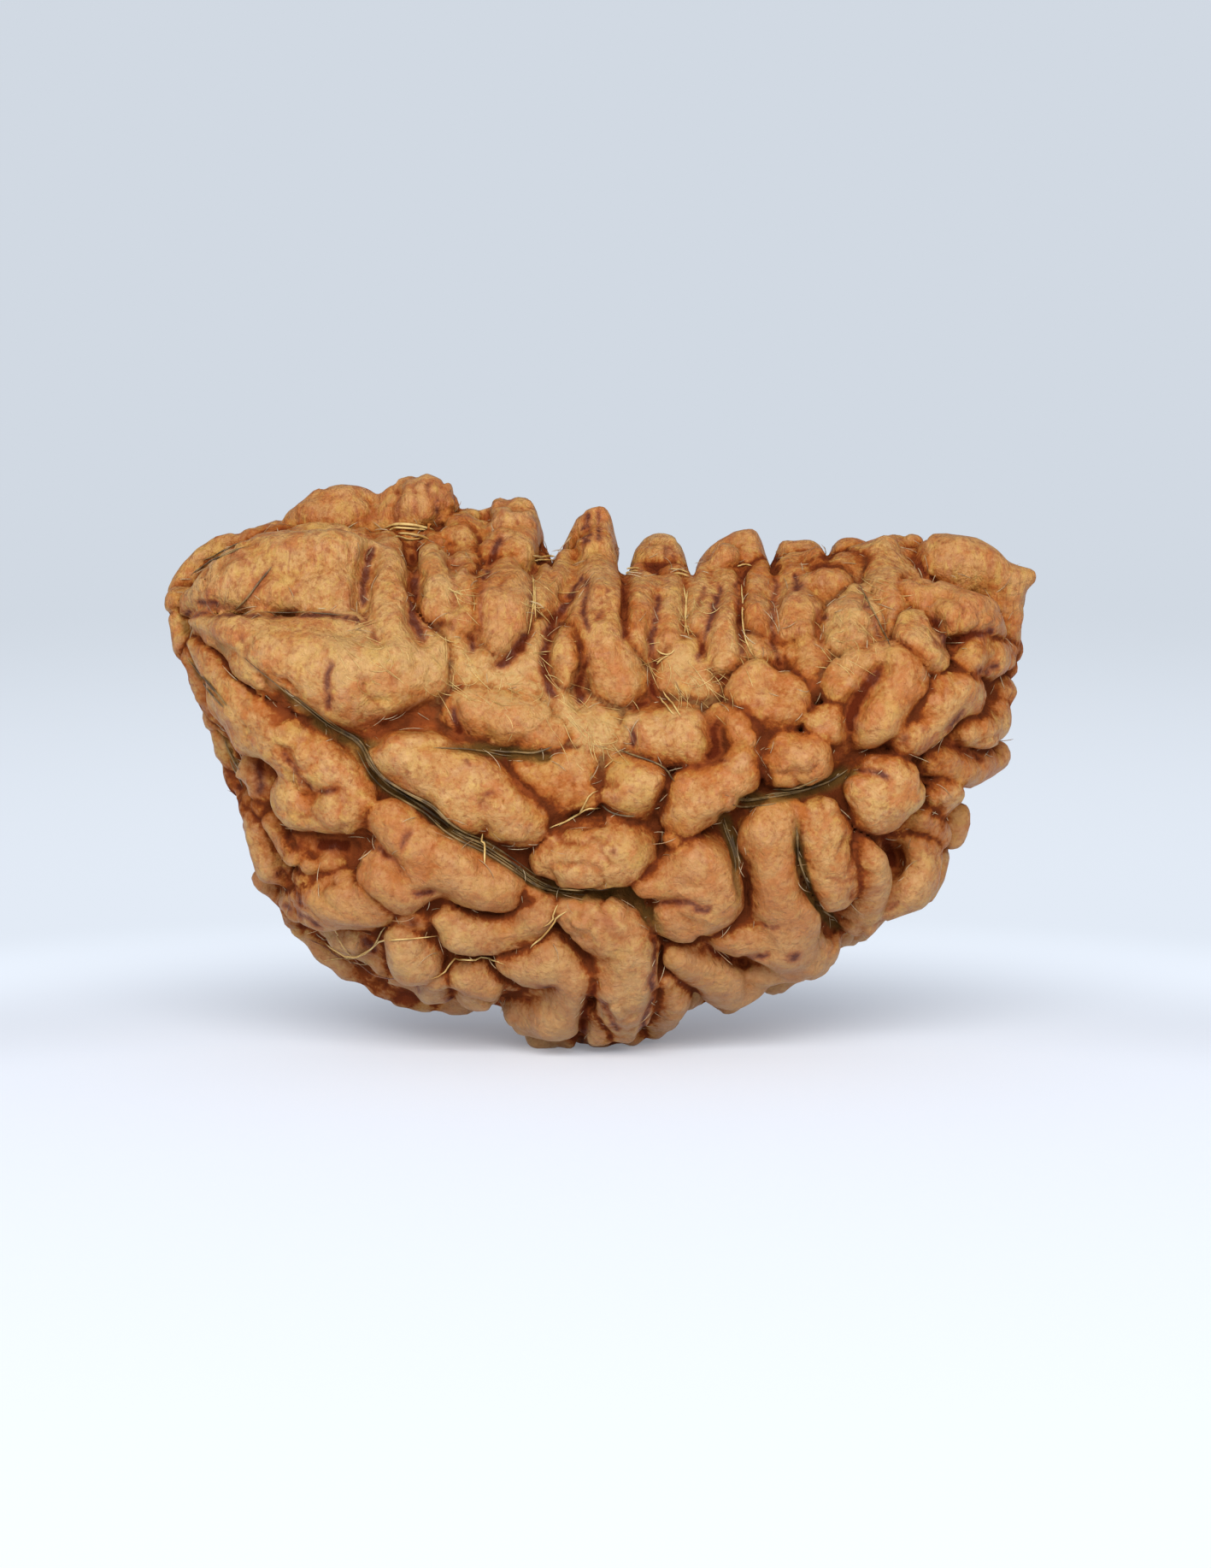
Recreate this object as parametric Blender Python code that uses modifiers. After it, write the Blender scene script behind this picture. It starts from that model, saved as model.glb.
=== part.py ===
# Rudraksha seed: a half-moon shaped seed stone, one grown piece, standing on its curved edge.
# Metres, +Z up. X runs along the seed with the pointed end at -X, and the front face looks to -Y.
# The lobes are listed in millimetres as they are seen from the front, and put back along the line of
# sight onto a smooth half-moon body. The hidden face gets its own lobes, grown at random from a seed.

import math
import random

import bmesh
import bpy
from mathutils import Matrix, Vector

MM = 0.001

# Driving dimensions, in millimetres
BODY_THICKNESS = 9.4
EDGE_ROUNDING = 6.4
CORE_INSET = 0.35
SEAM_SLANT = 0.3
SLANT_FROM_HEIGHT = 9.0
SLANT_FULL_HEIGHT = 15.0
LOBE_SWELL = 0.1
CORE_SUBDIVISIONS = 5
VOXEL = 0.24
SMOOTHING_ROUNDS = 2
FACE_COUNT = 10400
CUTTER_SIZE = 60.0

# The view in which the lobes are listed, in degrees and millimetres
VIEW_ELEVATION = 7.0
VIEW_DISTANCE = 141.5
VIEW_CENTRE = (0.24, 8.53)

# Outline of the smooth body under the lobes, from the pointed end along the seam and back underneath
OUTLINE = (
    (-13.6, 14.0), (-13.0, 15.0), (-12.0, 15.7), (-10.6, 16.1), (-9.0, 16.3), (-7.5, 16.2),
    (-6.0, 16.1), (-4.0, 16.0), (-2.5, 15.8), (-1.0, 15.5), (0.5, 15.2), (2.0, 15.0),
    (3.5, 14.9), (5.0, 15.0), (6.5, 15.1), (8.0, 15.2), (9.5, 15.3), (11.0, 15.4),
    (12.4, 15.1), (13.0, 14.5), (12.95, 13.4), (12.8, 12.2), (12.6, 11.0), (12.5, 9.8),
    (11.9, 8.8), (11.3, 7.6), (10.9, 6.4), (10.4, 5.2), (9.4, 4.4), (8.2, 3.9),
    (7.2, 3.1), (6.0, 2.5), (4.6, 2.1), (3.2, 1.8), (2.2, 1.1), (1.2, 0.6),
    (0.0, 0.5), (-1.5, 0.7), (-2.8, 1.2), (-4.2, 1.5), (-5.8, 1.7), (-7.2, 2.3),
    (-8.4, 3.0), (-9.4, 3.9), (-10.2, 4.8), (-10.8, 5.9), (-11.1, 7.2), (-11.4, 8.4),
    (-12.0, 9.8), (-12.5, 11.1), (-13.1, 12.6),
)

# Each front lobe is its lift above the body, then points of x, z and radius from end to end.
POINTED_END = (
    (0.0, (-13.35, 14.5, 0.28), (-12.7, 14.75, 0.38), (-12.1, 14.5, 0.3)),
    (0.1, (-12.9, 15.3, 0.4), (-11.9, 15.25, 0.75), (-11.2, 15.5, 0.9)),
    (0.0, (-10.6, 15.4, 1.25), (-9.4, 15.6, 1.4), (-8.7, 15.7, 1.2)),
    (0.0, (-12.6, 13.75, 0.3), (-11.9, 13.45, 0.5), (-11.4, 13.2, 0.5)),
    (0.0, (-11.0, 13.1, 0.75), (-10.2, 12.5, 0.95), (-9.4, 12.0, 0.95)),
    (0.0, (-8.2, 11.6, 0.95), (-7.2, 11.55, 1.0), (-6.2, 11.8, 1.0), (-5.8, 12.0, 0.85)),
    (-0.15, (-9.6, 13.1, 0.8), (-8.4, 13.0, 1.0), (-7.2, 13.0, 0.9)),
)

FRONT_TEETH = (
    (0.0, (-6.9, 16.2, 0.6), (-6.8, 15.2, 0.6), (-6.7, 14.2, 0.65), (-6.6, 13.3, 0.75)),
    (0.0, (-5.5, 16.3, 0.42), (-5.3, 15.5, 0.6), (-5.2, 14.6, 0.62)),
    (0.0, (-4.1, 16.3, 0.5), (-4.05, 15.5, 0.5), (-4.2, 14.6, 0.42), (-4.4, 13.8, 0.4)),
    (0.0, (-2.85, 16.0, 0.65), (-3.0, 15.0, 0.8), (-3.15, 14.1, 0.85), (-3.25, 13.3, 0.74)),
    (0.0, (-1.0, 15.95, 0.5), (-1.35, 15.3, 0.62), (-1.65, 14.6, 0.5), (-1.9, 13.9, 0.4)),
    (-0.1, (-1.95, 13.6, 0.35), (-2.0, 12.9, 0.35)),
    (0.0, (-0.1, 15.9, 0.42), (0.3, 15.5, 0.6), (0.3, 14.6, 0.62), (0.25, 13.6, 0.68),
     (0.42, 12.6, 0.68), (0.75, 11.8, 0.62)),
    (-0.1, (-1.0, 13.4, 0.4), (-1.15, 12.8, 0.52), (-1.25, 12.1, 0.5)),
    (0.0, (1.5, 15.0, 0.55), (1.35, 14.2, 0.5), (1.3, 13.4, 0.5), (1.4, 12.6, 0.45)),
    (0.0, (2.2, 15.1, 0.5), (2.35, 14.2, 0.42), (2.3, 13.3, 0.42)),
    (0.0, (3.5, 15.5, 0.5), (3.4, 14.8, 0.45), (3.3, 14.0, 0.4), (3.0, 13.2, 0.38)),
    (0.0, (4.2, 15.6, 0.5), (4.1, 14.6, 0.52), (3.95, 13.6, 0.55), (4.0, 12.8, 0.6)),
    (0.0, (5.2, 15.6, 0.5), (5.15, 14.6, 0.5), (5.2, 13.7, 0.45)),
    (0.0, (6.2, 15.4, 0.45), (6.2, 14.6, 0.5), (6.3, 13.8, 0.5), (6.2, 13.1, 0.4)),
    (0.0, (7.3, 15.5, 0.6), (7.6, 14.9, 0.6)),
    (0.0, (9.5, 15.9, 0.6), (9.8, 15.3, 0.6), (9.9, 14.7, 0.55)),
    (-0.1, (7.1, 13.6, 0.35), (7.0, 13.0, 0.4)),
    (-0.1, (6.6, 12.9, 0.4), (6.75, 12.3, 0.5), (6.9, 11.9, 0.4)),
    (0.0, (8.3, 13.9, 0.6), (8.4, 13.1, 0.75)),
    (0.0, (9.6, 14.6, 0.3), (9.6, 13.8, 0.3), (9.7, 13.3, 0.25)),
    (0.0, (11.0, 15.8, 0.65), (11.8, 15.9, 0.75), (12.5, 15.5, 0.7), (13.2, 15.2, 0.55),
     (13.75, 15.15, 0.25)),
)

BLUNT_END = (
    (0.0, (10.5, 14.7, 0.45), (11.3, 14.7, 0.45), (12.2, 14.3, 0.5), (12.8, 14.0, 0.5),
     (13.1, 13.4, 0.4)),
    (0.0, (11.6, 13.8, 0.5)),
    (0.0, (10.3, 13.9, 0.4), (10.6, 13.0, 0.6)),
    (0.0, (12.0, 12.8, 0.5), (12.9, 12.9, 0.55)),
    (0.0, (7.75, 11.55, 0.5), (8.2, 11.95, 0.5), (8.7, 12.25, 0.45), (9.3, 12.5, 0.5),
     (9.8, 12.4, 0.6), (9.9, 11.8, 0.6), (9.5, 11.1, 0.6), (9.0, 10.5, 0.6)),
    (0.0, (10.0, 10.3, 0.6), (10.6, 10.65, 0.65), (11.1, 11.2, 0.65), (11.5, 11.55, 0.58),
     (12.0, 11.55, 0.5), (12.25, 11.1, 0.42)),
    (0.0, (12.3, 10.2, 0.65), (12.8, 10.8, 0.5), (12.9, 11.2, 0.35)),
    (-0.1, (11.0, 9.45, 0.4), (11.6, 9.4, 0.45), (12.4, 9.2, 0.55), (12.8, 9.4, 0.45)),
    (0.0, (10.85, 8.55, 0.5), (11.05, 8.2, 0.6)),
    (0.2, (9.35, 8.8, 0.85), (9.45, 8.2, 0.95), (9.1, 7.95, 0.85), (8.6, 8.3, 0.5)),
    (0.0, (10.4, 7.3, 0.5), (10.9, 6.9, 0.45)),
    (0.0, (11.55, 7.4, 0.5), (11.5, 7.0, 0.4)),
    (0.0, (10.2, 6.6, 0.4), (10.5, 5.9, 0.6), (10.4, 5.2, 0.65), (9.9, 4.85, 0.6)),
    (0.0, (8.75, 6.5, 0.45), (8.9, 5.9, 0.55), (9.0, 5.2, 0.6), (8.9, 4.6, 0.6),
     (8.5, 4.1, 0.6)),
    (0.0, (7.3, 7.5, 0.6), (7.6, 6.8, 0.7), (7.7, 6.0, 0.62), (7.7, 5.2, 0.6)),
)

MIDDLE = (
    (0.0, (-4.2, 10.7, 0.7), (-3.3, 10.5, 0.8), (-2.4, 10.4, 0.75), (-2.0, 10.35, 0.65)),
    (0.1, (-6.4, 9.3, 0.75), (-5.6, 8.9, 0.9), (-4.7, 8.55, 0.95), (-3.6, 7.8, 1.0),
     (-2.6, 7.4, 0.92)),
    (-0.1, (-2.3, 9.1, 0.6), (-1.5, 8.8, 0.85), (-1.2, 8.0, 0.75), (-0.6, 8.8, 0.7)),
    (0.0, (1.15, 8.5, 0.95)),
    (0.0, (1.5, 10.2, 0.72), (2.4, 10.1, 0.9), (3.1, 10.0, 0.85)),
    (0.1, (3.6, 10.6, 0.4), (4.3, 10.45, 0.5), (4.75, 10.05, 0.5), (4.8, 9.4, 0.5),
     (4.4, 8.95, 0.6), (3.7, 8.6, 0.75), (3.1, 8.1, 0.85), (2.75, 7.8, 0.7)),
    (0.1, (6.0, 9.4, 0.75), (6.7, 9.3, 0.8)),
    (0.0, (7.2, 10.4, 0.45), (7.55, 10.45, 0.55)),
    (-0.1, (5.4, 11.3, 0.65), (6.0, 11.1, 0.85)),
    (-0.35, (-3.4, 12.0, 0.9), (-2.0, 11.3, 0.9), (-0.8, 10.3, 0.9), (0.3, 10.2, 0.7)),
    (-0.2, (2.7, 12.4, 0.4), (3.3, 12.2, 0.4), (2.8, 11.5, 0.45)),
    (-0.2, (4.7, 12.3, 0.4), (5.1, 12.2, 0.3)),
    (0.0, (-2.0, 6.1, 0.5), (-0.8, 6.3, 0.85), (0.1, 6.4, 1.0), (0.9, 6.4, 0.9)),
    (0.0, (2.5, 6.2, 0.6), (3.15, 6.2, 0.8), (3.3, 5.5, 0.9), (2.6, 5.3, 0.65),
     (1.7, 5.3, 0.45)),
    (0.0, (2.4, 4.2, 0.5), (3.2, 4.15, 0.55), (3.85, 4.5, 0.6)),
)

POINTED_SIDE = (
    (0.0, (-12.9, 12.9, 0.25), (-12.2, 12.2, 0.5), (-11.3, 11.3, 0.85), (-10.9, 10.5, 1.0),
     (-11.1, 10.2, 0.95)),
    (0.0, (-10.6, 10.9, 0.8), (-9.9, 10.1, 0.9), (-9.2, 9.3, 0.95), (-8.9, 9.1, 0.85)),
    (0.0, (-9.9, 8.2, 0.65), (-9.3, 7.65, 0.75), (-8.5, 7.7, 0.8), (-7.9, 7.9, 0.7)),
    (0.1, (-6.8, 7.3, 0.65), (-6.5, 6.5, 0.8), (-6.9, 6.0, 0.8), (-6.45, 5.3, 0.82)),
    (0.1, (-6.4, 6.3, 0.8), (-5.4, 6.0, 0.9), (-4.4, 5.6, 0.95), (-3.5, 5.2, 0.8)),
    (-0.5, (-11.0, 8.9, 0.6)),
    (-0.5, (-9.6, 6.6, 0.5)),
    (0.0, (-11.8, 9.3, 0.2), (-11.4, 8.6, 0.25), (-10.9, 8.0, 0.25), (-10.45, 7.6, 0.2)),
    (0.0, (-11.3, 7.9, 0.3), (-11.1, 7.2, 0.45), (-10.9, 6.4, 0.5)),
    (0.0, (-10.7, 7.1, 0.25), (-10.35, 6.6, 0.25), (-9.9, 6.15, 0.25), (-9.3, 5.9, 0.2)),
)

UNDERSIDE = (
    (0.0, (-9.0, 4.8, 0.85), (-8.3, 4.75, 0.95), (-7.6, 4.7, 0.85)),
    (-0.1, (-9.3, 5.5, 0.45), (-8.9, 5.5, 0.4)),
    (0.0, (-10.7, 5.3, 0.4), (-10.2, 4.9, 0.35), (-9.7, 4.4, 0.3)),
    (0.0, (-10.0, 4.2, 0.25), (-9.4, 3.7, 0.35), (-9.0, 3.3, 0.35), (-8.6, 2.9, 0.4),
     (-8.0, 2.5, 0.45), (-7.3, 2.2, 0.4), (-6.6, 1.9, 0.4)),
    (-0.2, (-8.5, 3.35, 0.35), (-7.9, 3.4, 0.35)),
    (0.0, (-6.8, 3.0, 0.35), (-6.2, 2.95, 0.68), (-5.7, 3.0, 0.6)),
    (-0.4, (-6.0, 4.0, 0.6)),
    (0.0, (-5.0, 4.0, 0.45), (-4.4, 3.75, 0.6), (-3.6, 3.6, 0.6), (-3.0, 3.65, 0.58),
     (-2.5, 4.05, 0.55), (-2.0, 4.3, 0.42)),
    (-0.15, (-2.4, 4.95, 0.35), (-2.0, 5.0, 0.3)),
    (0.0, (-0.8, 4.3, 0.5), (-0.1, 4.15, 0.8), (0.6, 4.0, 0.85), (0.95, 3.3, 0.85),
     (0.9, 2.5, 0.85), (0.85, 1.7, 0.75), (0.9, 1.1, 0.55), (0.95, 0.65, 0.5)),
    (0.0, (-2.1, 3.0, 0.75), (-1.4, 3.05, 0.65), (-0.9, 2.6, 0.6), (-0.75, 1.9, 0.5),
     (-0.9, 1.2, 0.6), (-1.6, 0.95, 0.7), (-2.2, 1.1, 0.55)),
    (0.0, (-0.05, 0.8, 0.35), (0.1, 0.5, 0.4)),
    (0.0, (2.2, 1.5, 0.5), (2.0, 1.0, 0.5), (1.8, 0.65, 0.45)),
    (-0.2, (2.3, 2.2, 0.35)),
    (0.0, (-3.9, 2.3, 0.65), (-3.75, 1.6, 0.65)),
    (0.0, (-5.3, 2.1, 0.5), (-5.2, 1.6, 0.45)),
    (0.0, (-6.3, 1.75, 0.4)),
    (0.0, (2.6, 3.0, 0.5), (3.3, 2.5, 0.6), (4.1, 2.1, 0.75), (4.6, 2.1, 0.7),
     (5.4, 2.5, 0.6)),
    (0.0, (5.55, 7.1, 0.85), (5.7, 6.3, 0.7), (5.7, 5.6, 0.75), (5.85, 4.7, 0.85),
     (6.1, 3.8, 0.95), (6.8, 3.3, 0.9)),
    (0.0, (5.6, 7.1, 0.8), (6.1, 7.25, 0.55)),
    (0.0, (4.6, 3.5, 0.65), (5.3, 3.7, 0.6)),
    (0.0, (6.0, 2.75, 0.8), (6.9, 3.1, 0.78)),
)

FRONT_LOBES = POINTED_END + FRONT_TEETH + BLUNT_END + MIDDLE + POINTED_SIDE + UNDERSIDE

# Lobes on the rim and behind the seam: their depth y, then points of x, z and radius.
BACK_TEETH = (
    (1.6, (-9.5, 17.0, 0.5), (-8.7, 17.35, 0.85), (-8.1, 17.3, 0.75)),
    (1.4, (-7.3, 17.1, 0.35), (-6.4, 17.3, 0.9), (-5.6, 17.6, 1.0), (-5.2, 17.4, 0.8)),
    (1.4, (-4.1, 16.9, 0.55)),
    (1.4, (-3.1, 17.1, 0.75), (-2.4, 17.1, 0.75), (-2.2, 16.6, 0.55)),
    (1.4, (-0.6, 16.4, 0.55), (0.0, 16.8, 0.6), (0.05, 17.1, 0.48), (0.15, 16.5, 0.65)),
    (1.4, (1.6, 15.7, 0.65), (2.1, 15.85, 0.82)),
    (1.3, (3.9, 15.6, 0.5), (4.7, 15.9, 0.75)),
    (1.3, (6.3, 15.9, 0.44), (6.6, 15.85, 0.42)),
    (1.3, (7.9, 15.8, 0.6), (8.4, 15.8, 0.6)),
    (1.3, (9.9, 16.1, 0.6), (10.4, 16.0, 0.5)),
)

RIM_LOBES = (
    (0.6, (-13.5, 14.9, 0.25), (-12.95, 15.75, 0.3), (-12.2, 16.25, 0.3), (-11.2, 16.5, 0.3),
     (-10.2, 16.6, 0.4)),
    (-0.9, (-13.1, 12.6, 0.3), (-12.7, 11.8, 0.35), (-12.35, 11.0, 0.38)),
    (-0.3, (-12.9, 12.0, 0.35), (-12.45, 11.1, 0.4), (-12.2, 10.3, 0.42), (-11.95, 9.5, 0.42)),
    (0.3, (-12.2, 10.0, 0.35), (-11.95, 9.3, 0.4), (-11.6, 8.6, 0.4)),
    (0.7, (13.3, 14.7, 0.45), (13.1, 13.9, 0.5)),
    (0.5, (13.1, 12.9, 0.55), (13.0, 12.4, 0.55), (12.6, 12.05, 0.45)),
    (0.4, (11.0, 6.2, 0.42), (10.85, 5.6, 0.45), (10.5, 5.0, 0.5)),
    (0.4, (3.6, 1.85, 0.3), (4.15, 1.6, 0.35), (4.6, 1.85, 0.35)),
)

# The worn foot that the seed rests on: short knobs in an oval, which the floor plane cuts flat
FOOT_CENTRE = (-0.4, 0.0)
FOOT_HALF_SIZE = (1.95, 1.3)
FOOT_KNOB_RADIUS = 0.95
FOOT_KNOB_HEIGHT = 0.75
FOOT_KNOB_GAP = 0.62

# The hidden face has the lobes of the front, slid round the seed away from its pointed end
BACK_LOBES = POINTED_END + BLUNT_END + MIDDLE + POINTED_SIDE + UNDERSIDE
SLIDE_CENTRE = (0.5, 8.8)
SLIDE_AT_RIM = 0.2
SLIDE_IN_MIDDLE = 0.4

# Each back tooth runs on down the hidden face: heights of the outline, and shares of its radius
TOOTH_RUN = ((15.1, 0.9), (14.1, 1.0), (13.1, 0.9), (12.3, 0.75))
TOOTH_LEAN = 0.12
TOOTH_LENGTH_SPREAD = 0.25

# Small lobes fill what is still bare
FILLING_SEED = 11
FILLING_TRIES = 2600
FILLING_PACKING = 0.86


def smooth_chain(points, steps):
    """Points on a smooth curve through the given ones (x, y, z, radius)."""
    if len(points) < 2:
        return [tuple(points[0])]
    first = [2 * a - b for a, b in zip(points[0], points[1])]
    last = [2 * a - b for a, b in zip(points[-1], points[-2])]
    ring = [first, *points, last]
    curve = []
    for i in range(1, len(ring) - 2):
        for step in range(steps):
            t = step / steps
            curve.append(tuple(catmull_rom(ring[i - 1], ring[i], ring[i + 1], ring[i + 2], t)))
    curve.append(tuple(points[-1]))
    return curve


def catmull_rom(before, start, end, after, t):
    for a, b, c, d in zip(before, start, end, after):
        cubic = 3 * b - a - 3 * c + d
        square = 2 * a - 5 * b + 4 * c - d
        yield 0.5 * (2 * b + (c - a) * t + square * t * t + cubic * t ** 3)


def inside_distance(x, z):
    """Distance from the outline, positive inside it."""
    nearest = 1e9
    inside = False
    for (ax, az), (bx, bz) in zip(OUTLINE, OUTLINE[1:] + OUTLINE[:1]):
        dx = bx - ax
        dz = bz - az
        along = max(0.0, min(1.0, ((x - ax) * dx + (z - az) * dz) / (dx * dx + dz * dz)))
        nearest = min(nearest, math.hypot(x - ax - along * dx, z - az - along * dz))
        if (az > z) != (bz > z) and x < ax + (z - az) * dx / dz:
            inside = not inside
    return nearest if inside else -nearest


def body_depth(x, z, inset=0.0):
    """Half the thickness of the smooth body at this point of the outline."""
    depth = (inside_distance(x, z) - inset) / EDGE_ROUNDING
    rise = 1 - max(0.0, min(1.0, depth))
    return 0.5 * BODY_THICKNESS * math.sqrt(max(0.0, 1 - rise * rise))


def slant_at(z):
    """How far the back stands higher than the front, for each millimetre of depth."""
    t = max(0.0, min(1.0, (z - SLANT_FROM_HEIGHT) / (SLANT_FULL_HEIGHT - SLANT_FROM_HEIGHT)))
    return SEAM_SLANT * t * t * (3 - 2 * t)


def from_view(u, w, y):
    """The point at depth y that is seen at (u, w) in the front view."""
    tilt = math.radians(VIEW_ELEVATION)
    ahead = Vector((0.0, math.cos(tilt), -math.sin(tilt)))
    above = Vector((0.0, math.sin(tilt), math.cos(tilt)))
    target = Vector((VIEW_CENTRE[0], 0.0, VIEW_CENTRE[1] / math.cos(tilt)))
    eye = target - ahead * VIEW_DISTANCE
    seen = target + Vector((u - VIEW_CENTRE[0], 0.0, 0.0)) + above * (w - VIEW_CENTRE[1])
    return eye + (seen - eye) * ((y - eye.y) / (seen.y - eye.y))


def on_front(u, w, lift):
    """The point of the front surface, raised by lift, that is seen at (u, w)."""
    depth = body_depth(u, w)
    for _ in range(6):
        point = from_view(u, w, -depth - lift)
        depth = 0.5 * (depth + body_depth(point.x, point.z))
    return from_view(u, w, -depth - lift)


def on_back(x, z, lift):
    """A point of the hidden face, over (x, z) of the outline."""
    depth = body_depth(x, z) + lift
    return Vector((x, depth, z + slant_at(z) * depth))


def listed_lobes():
    """The lobes of the tables, as chains of (x, y, z, radius)."""
    lobes = []
    for lift, *points in FRONT_LOBES:
        lobes.append([(*on_front(x, z, lift), r + LOBE_SWELL) for x, z, r in points])
    for y, *points in BACK_TEETH + RIM_LOBES:
        lobes.append([(*from_view(x, z, y), r + LOBE_SWELL) for x, z, r in points])
    return lobes


def slid(x, z):
    """The point of the outline that (x, z) of the front slides to on the hidden face."""
    dx = x - SLIDE_CENTRE[0]
    dz = z - SLIDE_CENTRE[1]
    angle = math.atan2(dz, dx)
    share = min(1.0, math.hypot(dx, dz) / rim_distance(SLIDE_CENTRE, angle, 0.0))
    pole = math.atan2(OUTLINE[0][1] - SLIDE_CENTRE[1], OUTLINE[0][0] - SLIDE_CENTRE[0])
    from_pole = (angle - pole) % (2 * math.pi)
    inner = 1 - share
    slide = SLIDE_AT_RIM + SLIDE_IN_MIDDLE * inner * inner
    angle += slide * math.sin(0.5 * from_pole)
    reach = share * rim_distance(SLIDE_CENTRE, angle, 0.0)
    return SLIDE_CENTRE[0] + reach * math.cos(angle), SLIDE_CENTRE[1] + reach * math.sin(angle)


def back_lobes():
    """The lobes of the hidden face, as chains of (x, y, z, radius)."""
    for lift, *points in BACK_LOBES:
        chain = []
        for x, z, r in points:
            chain.append((*on_back(*slid(x, z), lift), r + LOBE_SWELL))
        yield chain


def back_teeth(rng):
    """The back teeth, run on down the hidden face from their crowns."""
    for _, *points in BACK_TEETH:
        radius = max(r for _, _, r in points) + LOBE_SWELL
        middle = sum(x for x, _, _ in points) / len(points)
        lean = rng.uniform(-TOOTH_LEAN, TOOTH_LEAN)
        length = 1 + rng.uniform(-TOOTH_LENGTH_SPREAD, TOOTH_LENGTH_SPREAD)
        top = TOOTH_RUN[0][0]
        chain = []
        for z, share in TOOTH_RUN:
            down = (top - z) * length
            chain.append((*on_back(middle + lean * down, top - down, 0.0), radius * share))
        yield chain


def is_free(point, radius, lobes):
    """Whether a ball here only touches the balls of the lobes so far."""
    for lobe in lobes:
        for x, y, z, r in lobe:
            reach = FILLING_PACKING * (radius + r)
            if abs(point.x - x) < reach and (point - Vector((x, y, z))).length < reach:
                return False
    return True


def filling_lobes(rng, lobes):
    """Short curved lobes in the bare places of the hidden face and the rim."""
    placed = [smooth_chain(lobe, 3) for lobe in lobes]
    new = []
    for _ in range(FILLING_TRIES):
        x = rng.uniform(-13.2, 13.0)
        z = rng.uniform(0.5, 16.2)
        edge = inside_distance(x, z)
        side = 1 if rng.random() < 0.8 or edge > 0.6 else -0.3
        radius = rng.uniform(0.4, 0.7)
        heading = rng.uniform(0, 2 * math.pi)
        turn = rng.uniform(-0.7, 0.7)
        chain = []
        for step in range(rng.randint(2, 5)):
            place = on_back(x, z, 0.0)
            place.y *= side
            if inside_distance(x, z) < 0.05 or not is_free(place, radius, placed):
                break
            chain.append((*place, radius * (1 - 0.05 * step)))
            heading += turn
            x += 0.75 * radius * math.cos(heading)
            z += 0.75 * radius * math.sin(heading)
        if chain:
            new.append(chain)
            placed.append(chain)
    return new


def rim_distance(centre, angle, inset):
    """How far the inset outline is from the centre in this direction."""
    low = 0.0
    high = 20.0
    for _ in range(24):
        middle = 0.5 * (low + high)
        x = centre[0] + math.cos(angle) * middle
        z = centre[1] + math.sin(angle) * middle
        if inside_distance(x, z) > inset:
            low = middle
        else:
            high = middle
    return low


def core_mesh(bm):
    """The smooth half-moon body, from a ball whose rim is drawn out to the outline."""
    made = bmesh.ops.create_icosphere(bm, subdivisions=CORE_SUBDIVISIONS, radius=1.0)
    for vertex in made["verts"]:
        angle = math.atan2(vertex.co.z, vertex.co.x)
        reach = math.hypot(vertex.co.x, vertex.co.z)
        reach *= rim_distance(SLIDE_CENTRE, angle, CORE_INSET)
        x = SLIDE_CENTRE[0] + math.cos(angle) * reach
        z = SLIDE_CENTRE[1] + math.sin(angle) * reach
        depth = math.copysign(max(0.02, body_depth(x, z, CORE_INSET)), vertex.co.y)
        if abs(vertex.co.y) < 1e-6:
            depth = 0.0
        vertex.co = Vector((x, depth, z + slant_at(z) * depth)) * MM


def foot_knobs():
    """Short knobs in an oval under the seed."""
    across = int(FOOT_HALF_SIZE[0] / FOOT_KNOB_GAP) + 1
    for column in range(-across, across + 1):
        for row in range(-across, across + 1):
            x = (column + 0.5 * (row % 2)) * FOOT_KNOB_GAP
            y = row * FOOT_KNOB_GAP
            if math.hypot(x / FOOT_HALF_SIZE[0], y / FOOT_HALF_SIZE[1]) < 1:
                place = (FOOT_CENTRE[0] + x, FOOT_CENTRE[1] + y)
                yield [(*place, FOOT_KNOB_HEIGHT, FOOT_KNOB_RADIUS)]


def add_lobe(bm, lobe):
    """Adds one lobe as overlapping balls."""
    balls = bmesh.new()
    for x, y, z, r in smooth_chain(lobe, 4):
        place = Matrix.Translation(Vector((x, y, z)) * MM)
        bmesh.ops.create_icosphere(balls, subdivisions=2, radius=r * MM, matrix=place)
    mesh = bpy.data.meshes.new("lobe")
    balls.to_mesh(mesh)
    balls.free()
    bm.from_mesh(mesh)
    bpy.data.meshes.remove(mesh)


def evaluated_copy(obj, name):
    graph = bpy.context.evaluated_depsgraph_get()
    return bpy.data.meshes.new_from_object(obj.evaluated_get(graph), depsgraph=graph)


def keep_outer_shell(mesh):
    """Removes the small closed pockets left between lobes, so that the seed is solid."""
    bm = bmesh.new()
    bm.from_mesh(mesh)
    left = set(bm.verts)
    shells = []
    while left:
        shell = {left.pop()}
        edge = list(shell)
        while edge:
            vertex = edge.pop()
            for link in vertex.link_edges:
                other = link.other_vert(vertex)
                if other not in shell:
                    shell.add(other)
                    edge.append(other)
        left -= shell
        shells.append(shell)
    shells.sort(key=len)
    for shell in shells[:-1]:
        bmesh.ops.delete(bm, geom=list(shell), context="VERTS")
    bm.to_mesh(mesh)
    bm.free()


def seed_material():
    """Dry satin stone of the fruit, tan with a brown cast."""
    material = bpy.data.materials.new("seed_stone")
    material.use_nodes = True
    shader = material.node_tree.nodes["Principled BSDF"]
    shader.inputs["Base Color"].default_value = (0.47, 0.23, 0.09, 1)
    shader.inputs["Roughness"].default_value = 0.55
    shader.inputs["Metallic"].default_value = 0.0
    material.diffuse_color = (0.47, 0.23, 0.09, 1)
    return material


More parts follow.
